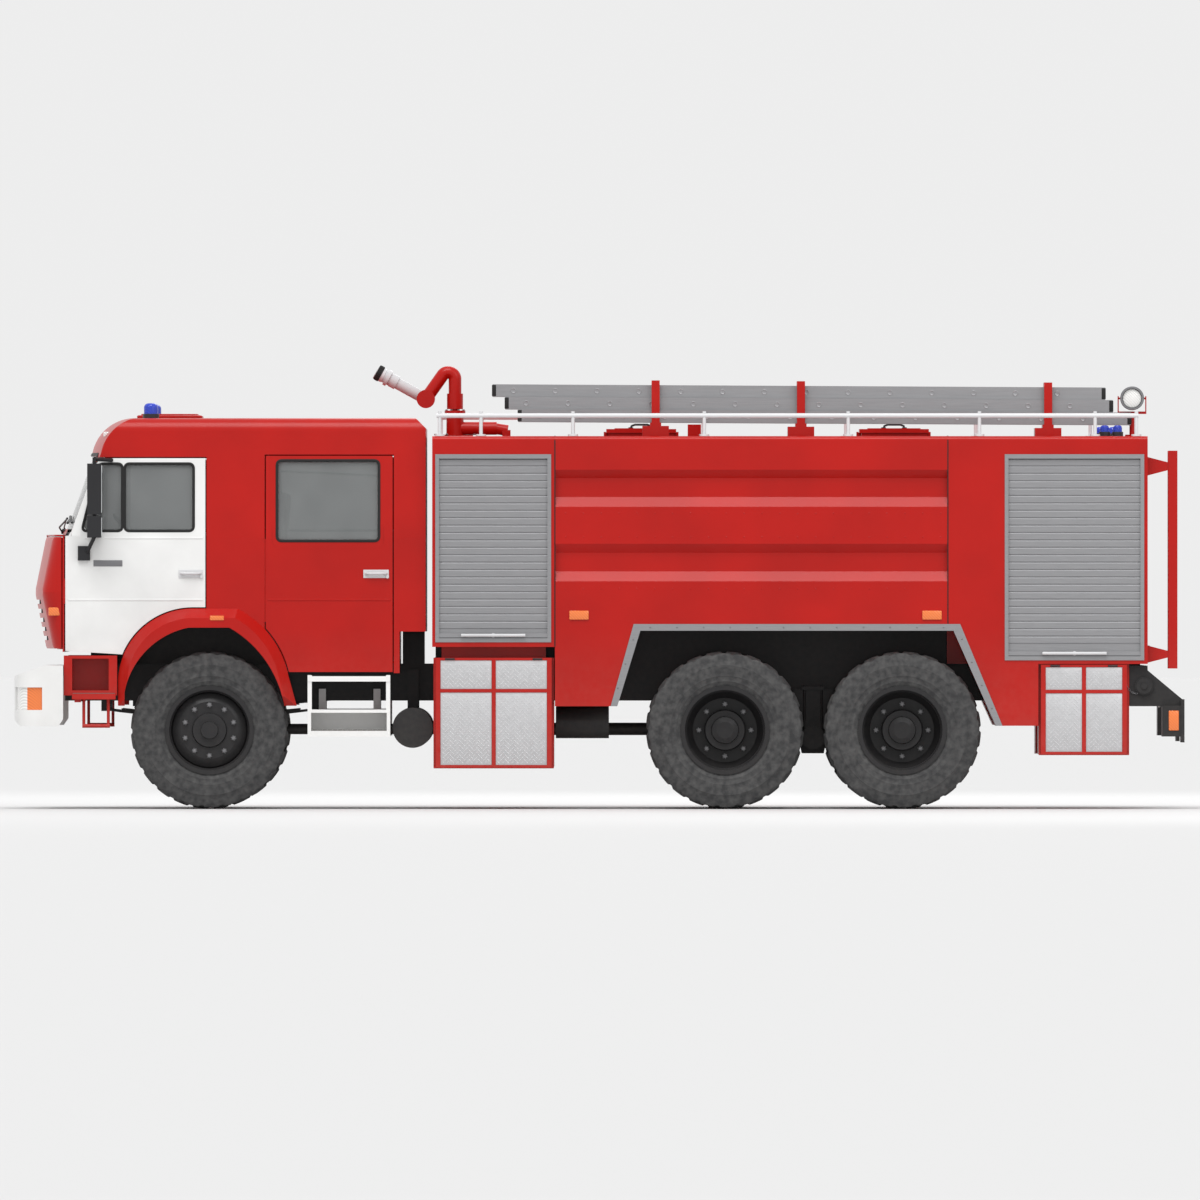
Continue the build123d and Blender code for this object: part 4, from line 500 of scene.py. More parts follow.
grille_slots_z = (1.225, 1.290, 1.355, 1.420, 1.485)
bar_spacing = 0.020
bar_depth = 0.024
grille_bars = bmesh.new()
for slot_z in grille_slots_z:
    for step in range(82):
        lip = on_front(panel_skin, -0.81 + step * bar_spacing, slot_z + 0.0225)
        bar_foot = lip + Vector((bar_depth, 0, -0.040))
        bar_head = lip + Vector((bar_depth, 0, -0.005))
        add_tube(grille_bars, [bar_foot, bar_head], 0.0022, (1, 0, 0), facets=4)
place_piece("grille_bars", grille_bars, "front_panel", "dash_plastic", black_plastic)

for side, outward in sides:
    roof_lamp = bmesh.new()
    lamp_x = on_front(cab_skin, outward * 0.90, 2.690).x
    add_slab(roof_lamp, (lamp_x - 0.022, lamp_x + 0.05), (outward * 0.85, outward * 0.95),
             (2.668, 2.704), 0.008)
    place_piece("roof_marker_" + side, roof_lamp, "root", "lamp_glass", lamp_white)
    indicator = bmesh.new()
    lamp_y = on_side(panel_skin, outward, -3.890, 1.415).y
    add_slab(indicator, (-3.939, -3.848), (lamp_y - outward * 0.012, lamp_y + outward * 0.014),
             (1.386, 1.445), 0.007)
    place_piece("side_indicator_" + side, indicator, "front_panel", "lamp_glass", lamp_orange)

# Doors: pressed steel skins over box frames, hinged at their front edge. The front
# doors are sprayed white. Each has two pressed swages and a pull handle in a cup.

handle_alloy = enamel("handle_alloy", (0.62, 0.62, 0.63), 0.02, 0.3)
finish_nodes(white_enamel, "front_door_left", "front_door_right")
lower_swage_z = 1.499
belt_swage_z = 1.942
handle_z = 1.685
grip_z = 1.688
keyhole_outline = [(0, 0.012), (0.009, 0.012), (0.011, 0.010), (0.011, 0)]
badge_x = -3.512
badge_z = 1.761
for side, outward in sides:
    for place, paint, slot_name, swages, (handle_start, handle_end) in (
        ("front", white_enamel, "white_paint", (-3.800, -2.832), (-3.006, -2.833)),
        ("crew", red_enamel, "red_paint", (-2.368, -1.487), (-1.683, -1.500)),
    ):
        body = f"{place}_door_{side}"
        skin = surface_of(body)
        beads = bmesh.new()
        run = [swages[0] + (swages[1] - swages[0]) * step / 8 for step in range(9)]
        lower_swage = [on_side(skin, outward, x, lower_swage_z) for x in run]
        add_tube(beads, lower_swage, 0.007, (0, outward, 0), facets=8, flat=0.6)
        if place == "front":
            belt_swage = [on_side(skin, outward, x, belt_swage_z) for x in run[1:]]
            add_tube(beads, belt_swage, 0.007, (0, outward, 0), facets=8, flat=0.6)
        place_piece(f"{place}_door_swages_{side}", beads, body, slot_name, paint)
        handle_y = on_side(skin, outward, (handle_start + handle_end) / 2, handle_z).y
        handle = bmesh.new()
        add_slab(handle, (handle_start, handle_end), (handle_y - outward * 0.002, handle_y + outward * 0.006),
                 (handle_z - 0.030, handle_z + 0.030), 0.003)
        grip = [(handle_start + 0.018, 0.004), (handle_start + 0.026, 0.020), (handle_start + 0.048, 0.028),
                (handle_end - 0.048, 0.028), (handle_end - 0.026, 0.020), (handle_end - 0.018, 0.004)]
        add_tube(handle, [(x, handle_y + outward * out, grip_z) for x, out in grip], 0.011, (0, 0, 1),
                 facets=12, flat=0.8)
        keyhole = (handle_end - 0.010, handle_y + outward * 0.004, grip_z - 0.024)
        add_turned(handle, keyhole_outline, keyhole, (0, outward, 0), 20)
        place_piece(f"{place}_door_handle_{side}", handle, body, "ladder_alloy", handle_alloy)
    badge = bmesh.new()
    badge_y = on_side(surface_of("front_door_" + side), outward, badge_x, badge_z).y
    add_slab(badge, (badge_x - 0.104, badge_x + 0.103),
             (badge_y - outward * 0.001, badge_y + outward * 0.004),
             (badge_z - 0.022, badge_z + 0.022), 0.002)
    place_piece("blank_badge_plate_" + side, badge, "front_door_" + side, "ladder_alloy", bare_steel)

# Windows: flat and crowned toughened glass with a grey tint, bonded in black rubber
# seals that lap over the edge of each opening.

window_glass, glass_tree, glass_shader, glass_place = new_finish("window_glass")
glass_haze = add_node(glass_tree, "TexNoise", {"Vector": glass_place, "Scale": 5.0}).outputs["Fac"]
fill(glass_tree, glass_shader, {
    "Base Color": shade(glass_tree, glass_haze, (0.16, 0.17, 0.17), (0.23, 0.24, 0.24)),
    "Roughness": 0.05, "Alpha": 0.62, "IOR": 1.5,
})
finish_nodes(window_glass, "windscreen", "front_glass_left", "front_glass_right", "crew_glass_left",
             "crew_glass_right")


def rounded_loop(corners, radius, grow, steps=6):
    """An opening's outline with round corners, grown outward, as points at even turns."""
    middle = [sum(corner[part] for corner in corners) / len(corners) for part in (0, 1)]
    corners = [Vector([place + (grow if place > centre else -grow) for place, centre in zip(corner, middle)])
               for corner in corners]
    loop = []
    for index, corner in enumerate(corners):
        before, after = corners[index - 1], corners[(index + 1) % len(corners)]
        start = corner + (before - corner).normalized() * radius
        end = corner + (after - corner).normalized() * radius
        for step in range(steps + 1):
            share = step / steps
            loop.append(start * (1 - share) ** 2 + corner * 2 * share * (1 - share) + end * share ** 2)
        for step in (1, 2, 3):
            loop.append(end + (after + (corner - after).normalized() * radius - end) * step / 4)
    return loop


seal_rubber = enamel("seal_rubber", (0.018, 0.018, 0.018), 0.1, 0.7)
seal_radius = 0.010
screen_seal_radius = 0.013
screen_corners = [(-1.040, 2.005), (1.040, 2.005), (1.000, 2.535), (-1.000, 2.535)]
screen_seal = bmesh.new()
screen_loop = [on_front(cab_skin, y, z, 0.001) for y, z in rounded_loop(screen_corners, 0.055, 0.008)]
add_tube(screen_seal, screen_loop, screen_seal_radius, (-1, 0, 0.4), closed=True, flat=0.45)
place_piece("windscreen_seal", screen_seal, "root", "dash_plastic", seal_rubber)
quarter_light = [(-3.574, 2.470), (-3.695, 1.998), (-3.414, 1.998), (-3.414, 2.470)]
front_window = [(-3.388, 2.470), (-3.388, 1.998), (-2.904, 1.998), (-2.904, 2.470)]
crew_window = [(-2.297, 2.493), (-2.297, 1.926), (-1.575, 1.926), (-1.575, 2.493)]
for side, outward in sides:
    for place, openings in (("front", (quarter_light, front_window)), ("crew", (crew_window,))):
        door = f"{place}_door_{side}"
        skin = surface_of(door)
        seals = bmesh.new()
        for opening in openings:
            loop = [on_side(skin, outward, x, z, 0.001) for x, z in rounded_loop(opening, 0.037, 0.005)]
            add_tube(seals, loop, seal_radius, (0, outward, 0), closed=True, flat=0.5)
        place_piece(f"{place}_window_seals_{side}", seals, door, "dash_plastic", seal_rubber)

# Wipers: two pressed steel arms on spindles in the cowl, with rubber blades that rest
# low on the windscreen.

screen_skin = surface_of("windscreen")
wipers = bmesh.new()
wiper_reach = -0.42
cap_outline = [(-0.010, 0.020), (0.012, 0.020), (0.016, 0.015), (0.016, 0)]
for spindle_y in (-0.20, 0.62):
    blade_y = spindle_y + wiper_reach
    foot = on_front(cab_skin, spindle_y, 1.990)
    add_turned(wipers, cap_outline, foot, (-1, 0, 0.3), 20)
    blade_middle = on_front(screen_skin, blade_y, 2.085, 0.030)
    arm = [foot + Vector((-0.014, 0, 0)), foot + Vector((-0.030, wiper_reach * 0.3, 0.030)),
           blade_middle + Vector((-0.010, 0.0, 0))]
    add_tube(wipers, arm, 0.008, (-1, 0, 0), flat=0.6)
    blade = [on_front(screen_skin, blade_y + step * 0.06, 2.075 + step * 0.006, 0.014)
             for step in range(-4, 5)]
    add_tube(wipers, blade, 0.007, (-1, 0, 0), flat=1.5)
place_piece("wipers", wipers, "root", "dash_plastic", black_plastic)

# Mirrors: a tall and a short convex mirror in black plastic shells, clamped to a
# bent steel tube on each front door.

finish_nodes(black_plastic, "mirrors_left", "mirrors_right")
mirror_glass, mirror_tree, mirror_shader, mirror_place = new_finish("mirror_glass")
mirror_smears = add_node(mirror_tree, "TexNoise", {"Vector": mirror_place, "Scale": 30.0}).outputs["Fac"]
fill(mirror_tree, mirror_shader, {
    "Base Color": shade(mirror_tree, mirror_smears, (0.62, 0.64, 0.65), (0.74, 0.76, 0.77)),
    "Metallic": 1.0, "Roughness": 0.06,
})
mirror_rim = 0.012
for side, outward in sides:
    faces = bmesh.new()
    for low_z, high_z in ((2.111, 2.475), (1.945, 2.100)):
        add_slab(faces, (-3.560, -3.552), (outward * 1.197, outward * 1.393),
                 (low_z + mirror_rim, high_z - mirror_rim), 0.003)
    place_piece("mirror_faces_" + side, faces, "front_door_" + side, "window_glass", mirror_glass)

# Dashboard: a moulded, grained plastic panel right across the cab, with the steering
# wheel on its column at the left and a hooded row of round dials before the driver.

grained_plastic, grain_tree, grain_shader, grain_place = new_finish("grained_plastic")
grain = add_node(grain_tree, "TexVoronoi", {"Vector": grain_place, "Scale": 420.0}).outputs["Distance"]
fill(grain_tree, grain_shader, {
    "Base Color": shade(grain_tree, grain, (0.020, 0.020, 0.022), (0.034, 0.034, 0.036)),
    "Normal": relief(grain_tree, grain, 0.2, 0.0006), "Roughness": 0.55,
})
finish_nodes(grained_plastic, "dashboard")
dials = bmesh.new()
dial_x = -3.5145
dial_z = 1.872
for dial_y, dial_radius in ((-0.86, 0.030), (-0.76, 0.052), (-0.64, 0.052), (-0.54, 0.030)):
    dial_outline = [(-0.03, dial_radius), (0.004, dial_radius), (0.007, dial_radius - 0.004),
                    (0.002, dial_radius - 0.008), (0.002, 0)]
    add_turned(dials, dial_outline, (dial_x, dial_y, dial_z), (0.60, 0, 0.80), 32)
place_piece("dash_dials", dials, "root", "dash_plastic", bare_steel)

# Seats: two in front and a bench of four behind. Each is a foam cushion and a foam
# back under a dark woven cover with sewn channels, on a moulded plinth.

seat_cloth, cloth_tree, cloth_shader, cloth_place = new_finish("seat_cloth")
weft, warp = (
    add_node(cloth_tree, "TexWave", {"Vector": cloth_place, "Scale": 160.0}, bands_direction=way)
    for way in ("Y", "DIAGONAL")
)
threads = {0: weft.outputs["Fac"], 1: warp.outputs["Fac"]}
weave = add_node(cloth_tree, "Math", threads, operation="MULTIPLY").outputs["Value"]
fill(cloth_tree, cloth_shader, {
    "Base Color": shade(cloth_tree, weave, (0.035, 0.036, 0.040), (0.085, 0.088, 0.095)),
    "Normal": relief(cloth_tree, weave, 0.3, 0.0008), "Roughness": 0.9, "Sheen Weight": 0.3,
})
pad_rounding = 0.018
most_swelling = 0.012
channel_depth = 0.006
channel_reach = 0.020
pressure_steps = 14


def puffed_pad(name, profile, half_width, channels):
    """A foam pad in side view, blown up under its cover by cloth pressure, then sewn."""
    shape = bmesh.new()
    near = [shape.verts.new((x, -half_width, z)) for x, z in profile]
    far = [shape.verts.new((x, half_width, z)) for x, z in profile]
    shape.faces.new(near)
    shape.faces.new(list(reversed(far)))
    for index in range(len(profile)):
        after = (index + 1) % len(profile)
        shape.faces.new((near[after], near[index], far[index], far[after]))
    bmesh.ops.recalc_face_normals(shape, faces=shape.faces)
    bmesh.ops.bevel(shape, geom=list(shape.edges), offset=pad_rounding, segments=3, profile=0.5,
                    affect="EDGES")
    data = bpy.data.meshes.new(name)
    shape.to_mesh(data)
    shape.free()
    pad = put_in_scene(name + "_form", data)
    remesh = pad.modifiers.new("even_mesh", "REMESH")
    remesh.mode = "VOXEL"
    remesh.voxel_size = 0.011
    depsgraph = bpy.context.evaluated_depsgraph_get()
    even = bpy.data.meshes.new_from_object(pad.evaluated_get(depsgraph))
    pad.modifiers.clear()
    pad.data = even
    rest = [corner.co.copy() for corner in even.vertices]
    cover = pad.modifiers.new("cover", "CLOTH")
    cover.settings.use_pressure = True
    cover.settings.uniform_pressure_force = 4.0
    cover.settings.effector_weights.gravity = 0.0
    cover.point_cache.frame_start = 1
    cover.point_cache.frame_end = pressure_steps
    for step in range(1, pressure_steps + 1):
        bpy.context.scene.frame_set(step)
    blown = pad.evaluated_get(bpy.context.evaluated_depsgraph_get()).to_mesh()
    swollen = [corner.co.copy() for corner in blown.vertices]
    pad.evaluated_get(bpy.context.evaluated_depsgraph_get()).to_mesh_clear()
    pad.modifiers.clear()
    bpy.context.scene.frame_set(1)
    for corner, start, end in zip(even.vertices, rest, swollen):
        move = end - start
        corner.co = start + move * min(1.0, most_swelling / max(move.length, 0.0001))
    for corner in even.vertices:
        for channel in channels:
            away = abs(abs(corner.co.y) - channel)
            if away < channel_reach:
                corner.co += corner.normal * -channel_depth * (1 - away / channel_reach)
    even.shade_smooth()
    even.materials.append(seat_cloth)
    bpy.data.objects.remove(pad)
    return even


channel_y = 0.12
cover_margin = 0.022
seat_rows = (
    ("front", -2.746, 1.400, (-0.760, 0.760), 0.520,
     [(0.005, 0.222), (-0.005, 0.312), (0.365, 0.286), (0.375, 0.215)],
     [(0.395, 0.250), (0.452, 0.880), (0.522, 0.880), (0.452, 0.215)], (0.345, 0.190)),
    ("rear", -1.946, 1.100, (-0.780, -0.265, 0.265, 0.780), 0.500,
     [(0.015, 0.270), (0.015, 0.384), (0.355, 0.352), (0.365, 0.262)],
     [(0.395, 0.330), (0.487, 0.932), (0.545, 0.932), (0.460, 0.300)], (0.375, 0.240)),
)
for row, seat_x, foot_z, seat_ys, seat_width, cushion_side, back_side, plinth in seat_rows:
    cushion = puffed_pad(row + "_cushion", cushion_side, seat_width / 2 - cover_margin, (channel_y,))
    back = puffed_pad(row + "_back", back_side, seat_width / 2 - cover_margin, (channel_y,))
    plinth_x = seat_x + plinth[0]
    plinth_z = foot_z + plinth[1]
    for count, seat_y in enumerate(seat_ys):
        for part, mesh in (("cushion", cushion), ("back", back)):
            pad = put_in_scene(f"{row}_seat_{part}_{count}", mesh)
            pad.location = (seat_x, seat_y, foot_z)
            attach(pad, "root")
            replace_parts(pad, "seats")
        base = bmesh.new()
        foot_half = seat_width / 2 - 0.05
        tray_half = seat_width / 2 - 0.02
        add_slab(base, (seat_x + 0.02, plinth_x - 0.01), (seat_y - foot_half, seat_y + foot_half),
                 (foot_z + 0.0003, plinth_z), 0.015)
        add_slab(base, (seat_x + 0.02, plinth_x + 0.02), (seat_y - tray_half, seat_y + tray_half),
                 (plinth_z - 0.012, plinth_z + 0.012), 0.006)
        place_piece(f"{row}_seat_plinth_{count}", base, "root", "dash_plastic", grained_plastic)

# Steps and arch flares: folded steel boxes under the doors, with punched grip plates
# let into their treads, and a one-piece flare bolted round each front wheel.

finish_nodes(red_enamel, "arch_flares")
white_steps = ((0.80, 0.80, 0.79), "X", 1.0, 2.5)
step_paint = enamel("step_paint", engine_red, 0.2, second=white_steps)
finish_nodes(step_paint, "cab_steps")
grip_plate = enamel("grip_plate", (0.16, 0.16, 0.165), 0.6, 0.5, 0.2)
flare_skin = surface_of("arch_flares")
flare_lamp_x = -2.731
flare_lamp_z = (1.352, 1.386)
stud_pitch = 0.036
stud_rows = 4
grip_outline = [(0, 0.011), (0.004, 0.009), (0.005, 0.006), (0.001, 0.005), (0.001, 0)]
step_treads = (
    ((-3.765, -3.463), (1.000, 1.200), 0.8275),
    ((-2.062, -1.510), (1.000, 1.168), 0.5605),
)
step_plates = bmesh.new()
flare_markers = bmesh.new()
for outward in (-1, 1):
    for (low_x, high_x), (inner_y, outer_y), tread_z in step_treads:
        add_slab(step_plates, (low_x, high_x), (outward * inner_y, outward * outer_y),
                 (tread_z, tread_z + 0.004), 0.001)
        row_gap = (outer_y - inner_y - 0.056) / (stud_rows - 1)
        for stud_row in range(stud_rows):
            for stud in range(int((high_x - low_x - 0.03) / stud_pitch)):
                stud_x = low_x + 0.026 + stud * stud_pitch + (stud_row % 2) * stud_pitch / 3
                stud_y = outward * (inner_y + 0.028 + stud_row * row_gap)
                add_turned(step_plates, grip_outline, (stud_x, stud_y, tread_z + 0.003), (0, 0, 1), 10)
    flare_y = on_side(flare_skin, outward, flare_lamp_x, 1.362).y
    add_slab(flare_markers, (flare_lamp_x - 0.05, flare_lamp_x + 0.05),
             (flare_y - outward * 0.015, flare_y + outward * 0.008), flare_lamp_z, 0.006)
place_piece("step_grip_plates", step_plates, "root", "cast_grey", grip_plate)
place_piece("flare_markers", flare_markers, "root", "lamp_glass", lamp_orange)

# Bodywork: front cabinet, tank body and rear cabinet, folded from steel sheet with
# long pressed grooves, then welded and sprayed red. Sealant runs down their joints.

finish_nodes(red_enamel, "front_cabinet", "tank_body", "rear_cabinet")
body_half = 1.250
sealant_radius = 0.004
sealant = bmesh.new()
for joint_x, foot_z in ((-0.310, 1.166), (2.505, 1.330)):
    for outward in (-1, 1):
        line = ((body_half, foot_z), (body_half, 2.640), (body_half - 0.012, 2.662),
                (body_half - 0.034, 2.671))
        down_side = [(joint_x, outward * y, z) for y, z in line]
        add_tube(sealant, down_side, sealant_radius, (1, 0, 0), facets=8)
    over_roof = [(joint_x, -1.214, 2.672), (joint_x, 1.214, 2.672)]
    add_tube(sealant, over_roof, sealant_radius, (0, 0, 1), facets=8)
place_piece("joint_sealant", sealant, "root", "dash_plastic", seal_rubber)
body_markers = bmesh.new()
marker_z = (1.357, 1.422)
for marker_x in ((-0.207, -0.068), (2.321, 2.461)):
    for outward in (-1, 1):
        add_slab(body_markers, marker_x, (outward * (body_half - 0.004), outward * (body_half + 0.012)),
                 marker_z, 0.006)
place_piece("body_markers", body_markers, "root", "lamp_glass", lamp_orange)
rivets = bmesh.new()
rivet_outline = [(-0.001, 0.006), (0.0012, 0.0055), (0.0026, 0.003), (0.003, 0)]
rivet_pitch = 0.128
for outward in (-1, 1):
    for row_z in (2.120, 1.950, 1.580):
        for step in range(22):
            rivet = (-0.235 + step * rivet_pitch, outward * body_half, row_z)
            add_turned(rivets, rivet_outline, rivet, (0, outward, 0), 8)
place_piece("body_rivets", rivets, "root", "red_paint", red_enamel)

# Arch trim: one bent aluminium strip round each bogie arch, held by round-headed
# screws through the panel behind.


def drawn_aluminium(name, colour, roughness, along):
    """Bare drawn aluminium with fine lines, stretched the given way."""
    metal, tree, shader, place = new_finish(name)
    stretched = add_node(tree, "Mapping", {"Vector": place, "Scale": along}).outputs["Vector"]
    lines = add_node(tree, "TexNoise", {"Vector": stretched, "Scale": 8.0, "Detail": 5.0}).outputs["Fac"]
    fill(tree, shader, {
        "Base Color": shade(tree, lines, [part * 0.78 for part in colour], colour),
        "Normal": relief(tree, lines, 0.12, 0.001), "Metallic": 0.6, "Roughness": roughness,
    })
    return metal


shutter_metal = drawn_aluminium("shutter_metal", (0.31, 0.31, 0.32), 0.5, (1, 1, 14))
finish_nodes(shutter_metal, "arch_trim")
trim_screws = bmesh.new()
trim_line = [(0.113, 0.780), (0.278, 1.302), (2.569, 1.302), (2.856, 0.640)]
screw_pitch = 0.19
screw_outline = [(-0.001, 0.007), (0.002, 0.006), (0.0035, 0.003), (0.0035, 0)]
for start, end in zip(trim_line, trim_line[1:]):
    run = Vector(end) - Vector(start)
    count = round(run.length / screw_pitch)
    for step in range(count):
        x, z = Vector(start) + run * (step + 0.5) / count
        for outward in (-1, 1):
            add_turned(trim_screws, screw_outline, (x, outward * (body_half + 0.006), z), (0, outward, 0), 10)
place_piece("trim_screws", trim_screws, "root", "shutter_alloy", bare_steel)

# Roller shutters: curtains of interlocking aluminium slats in side guides. The bottom
# rail carries a bar handle, and a keyed latch at its middle.

finish_nodes(shutter_metal, "roller_shutters")
bar_radius = 0.011
bar_half = 0.230
bar_stand = 0.210
stand_half = 0.014
lock_outline = [(-0.002, 0.016), (0.006, 0.016), (0.008, 0.013), (0.005, 0.011), (0.005, 0)]
shutter_bars = bmesh.new()
for outward in (-1, 1):
    bar_y = outward * (body_half + 0.024)
    for low_x, high_x, bar_z in ((-1.167, -0.337, 1.245), (2.912, 3.911, 1.116)):
        middle = (low_x + high_x) / 2
        for stand_x in (middle - bar_stand, middle + bar_stand):
            add_slab(shutter_bars, (stand_x - stand_half, stand_x + stand_half),
                     (outward * (body_half - 0.001), outward * (body_half + 0.022)),
                     (bar_z - bar_radius, bar_z + bar_radius), 0.004)
        bar = [(middle - bar_half, bar_y, bar_z), (middle + bar_half, bar_y, bar_z)]
        add_tube(shutter_bars, bar, bar_radius, (0, 0, 1))
        add_turned(shutter_bars, lock_outline, (middle, outward * body_half, bar_z), (0, outward, 0), 20)
rear_bar_x = 3.960
rear_bar_z = 1.162
for stand_y in (-bar_stand, bar_stand):
    add_slab(shutter_bars, (rear_bar_x - 0.025, rear_bar_x - 0.002),
             (stand_y - stand_half, stand_y + stand_half), (rear_bar_z - bar_radius, rear_bar_z + bar_radius),
             0.004)
rear_bar = [(rear_bar_x, -bar_half, rear_bar_z), (rear_bar_x, bar_half, rear_bar_z)]
add_tube(shutter_bars, rear_bar, bar_radius, (0, 0, 1))
place_piece("shutter_bar_handles", shutter_bars, "root", "ladder_alloy", handle_alloy)

# Lower flaps: red frames hinged at the foot, each holding four panels of aluminium
# tread plate, rolled with raised diamonds, because an open flap is stood on.

finish_nodes(red_enamel, "front_flap_left", "front_flap_right", "rear_flap_left", "rear_flap_right")
tread_metal = drawn_aluminium("tread_metal", (0.60, 0.60, 0.61), 0.4, (3, 3, 3))
diamond_pitch = 0.034
diamond_height = 0.0019
diamond_long = 0.0095
diamond_wide = 0.0028
frame_width = 0.0525
frame_height = 0.0185
plate_y = (1.2421, 1.2455)


def add_diamonds(plates, face_y, outward, x, z):
    """Raised diamonds over one plate, in staggered rows that lean both ways."""
    for row in range(int((z[1] - z[0] - 0.02) / (diamond_pitch / 2))):
        for column in range(int((x[1] - x[0] - 0.02) / diamond_pitch)):
            lean = 1 if (row + column) % 2 else -1
            along = Vector((diamond_long, 0, diamond_long * lean))
            aside = Vector((-diamond_wide * lean, 0, diamond_wide))
            centre = Vector((x[0] + 0.02 + (column + 0.5 * (row % 2)) * diamond_pitch, face_y,
                             z[0] + 0.018 + row * diamond_pitch / 2))
            rim = [plates.verts.new(centre + shift) for shift in (along, aside, -along, -aside)]
            peak = plates.verts.new(centre + Vector((0, outward * diamond_height, 0)))
            for corner in range(4):
                plates.faces.new((rim[corner], rim[(corner + 1) % 4], peak))


for side, outward in sides:
    for place, (low_x, high_x), (low_z, high_z) in (
        ("front", (-1.182, -0.315), (0.297, 1.084)),
        ("rear", (3.153, 3.806), (0.392, 1.035)),
    ):
        flap = f"{place}_flap_{side}"
        plates = bmesh.new()
        middle_x = (low_x + high_x) / 2
        middle_z = low_z + (high_z - low_z) * 0.7
        columns = ((low_x + frame_width, middle_x - 0.0145), (middle_x + 0.0145, high_x - frame_width))
        rows = ((low_z + frame_height, middle_z - 0.0125), (middle_z + 0.0125, high_z - frame_height))
        for plate_x in columns:
            for plate_z in rows:
                add_slab(plates, plate_x, [outward * y for y in plate_y], plate_z, 0.0008)
                add_diamonds(plates, outward * plate_y[1], outward, plate_x, plate_z)
        place_piece(f"{place}_tread_plates_{side}", plates, flap, "ladder_alloy", tread_metal)
        latch = bmesh.new()
        latch_z = high_z - 0.0095
        for latch_x in (low_x + 0.12, high_x - 0.12):
            add_slab(latch, (latch_x - 0.035, latch_x + 0.035), (outward * 1.249, outward * 1.254),
                     (latch_z - 0.007, latch_z + 0.007), 0.002)
            pull = [(latch_x + end, outward * 1.2545, latch_z) for end in (-0.028, 0.028)]
            add_tube(latch, pull, 0.004, (0, 0, 1), facets=8)
        place_piece(f"{place}_flap_latches_{side}", latch, flap, "dash_plastic", black_plastic)

# Roof rails, ladder gantries and hatches: bent steel tube on flanged feet, pale along
# both edges and red over the ladders, and two pressed red lids with bar handles.

pale_rails = ((0.62, 0.62, 0.63), "Y", 1.1, 1.3)
rail_paint = enamel("rail_paint", engine_red, 0.1, second=pale_rails)
finish_nodes(rail_paint, "roof_rails")
finish_nodes(red_enamel, "front_hatch", "rear_hatch")
lift_y = 0.292
lift_grip = [(-0.075, 2.735), (-0.070, 2.752), (-0.045, 2.762), (0.045, 2.762), (0.070, 2.752),
             (0.075, 2.735)]
lift_foot = [(0, 0.018), (0.006, 0.018), (0.008, 0.012), (0.008, 0)]
for hatch, middle_x in (("front_hatch", 0.310), ("rear_hatch", 2.1325)):
    lift = bmesh.new()
    add_tube(lift, [(middle_x + x, lift_y, z) for x, z in lift_grip], 0.008, (0, 1, 0))
    for foot in (-0.075, 0.075):
        add_turned(lift, lift_foot, (middle_x + foot, lift_y, 2.7355), (0, 0, 1), 16)
    place_piece(hatch + "_handle", lift, hatch, "dash_plastic", black_plastic)

# Ladder stack: three aluminium ladders lashed in their gantries. The stiles are drawn
# box sections with black rubber shoes, and the rungs are swaged through them.

ladder_metal = drawn_aluminium("ladder_metal", (0.33, 0.33, 0.34), 0.42, (0.6, 14, 14))
finish_nodes(ladder_metal, "roof_ladders")
ladder_y = -0.740
ladder_drop = 0.0053
rung_pitch = 0.300
rung_outline = [(-0.001, 0.0195), (0.0025, 0.0195), (0.0035, 0.017), (0.0015, 0.013), (0.0015, 0)]
ladders = (
    (-0.574, 4.394, 2.776, 0.520),
    (-0.667, 4.357, 2.866, 0.480),
    (-0.758, 4.394, 2.956, 0.440),
)
ladder_shoes = bmesh.new()
rung_ends = bmesh.new()
for start_x, length, low_z, width in ladders:
    for stile_y in (ladder_y - width / 2, ladder_y + width / 2 - 0.028):
        for end_x in (start_x - 0.004, start_x + length - 0.026):
            end_z = low_z - (end_x - start_x) * ladder_drop
            add_slab(ladder_shoes, (end_x, end_x + 0.030), (stile_y - 0.0035, stile_y + 0.0315),
                     (end_z + 0.004, end_z + 0.085), 0.004)
    for rung in range(int(length / rung_pitch)):
        rung_x = start_x + rung_pitch / 2 + rung * rung_pitch
        rung_z = low_z + 0.0446 - (rung_x - start_x) * ladder_drop
        for outward in (-1, 1):
            rung_end = (rung_x, ladder_y + outward * width / 2, rung_z)
            add_turned(rung_ends, rung_outline, rung_end, (0, outward, 0), 16)
place_piece("ladder_shoes", ladder_shoes, "root", "dash_plastic", seal_rubber)
place_piece("ladder_rung_ends", rung_ends, "root", "ladder_alloy", ladder_metal)

# Water cannon: a red painted swivel and swept pipe of cast alloy, and a pale grey
# barrel with a ribbed black rubber nozzle ring. Steel bolts hold its flanges.

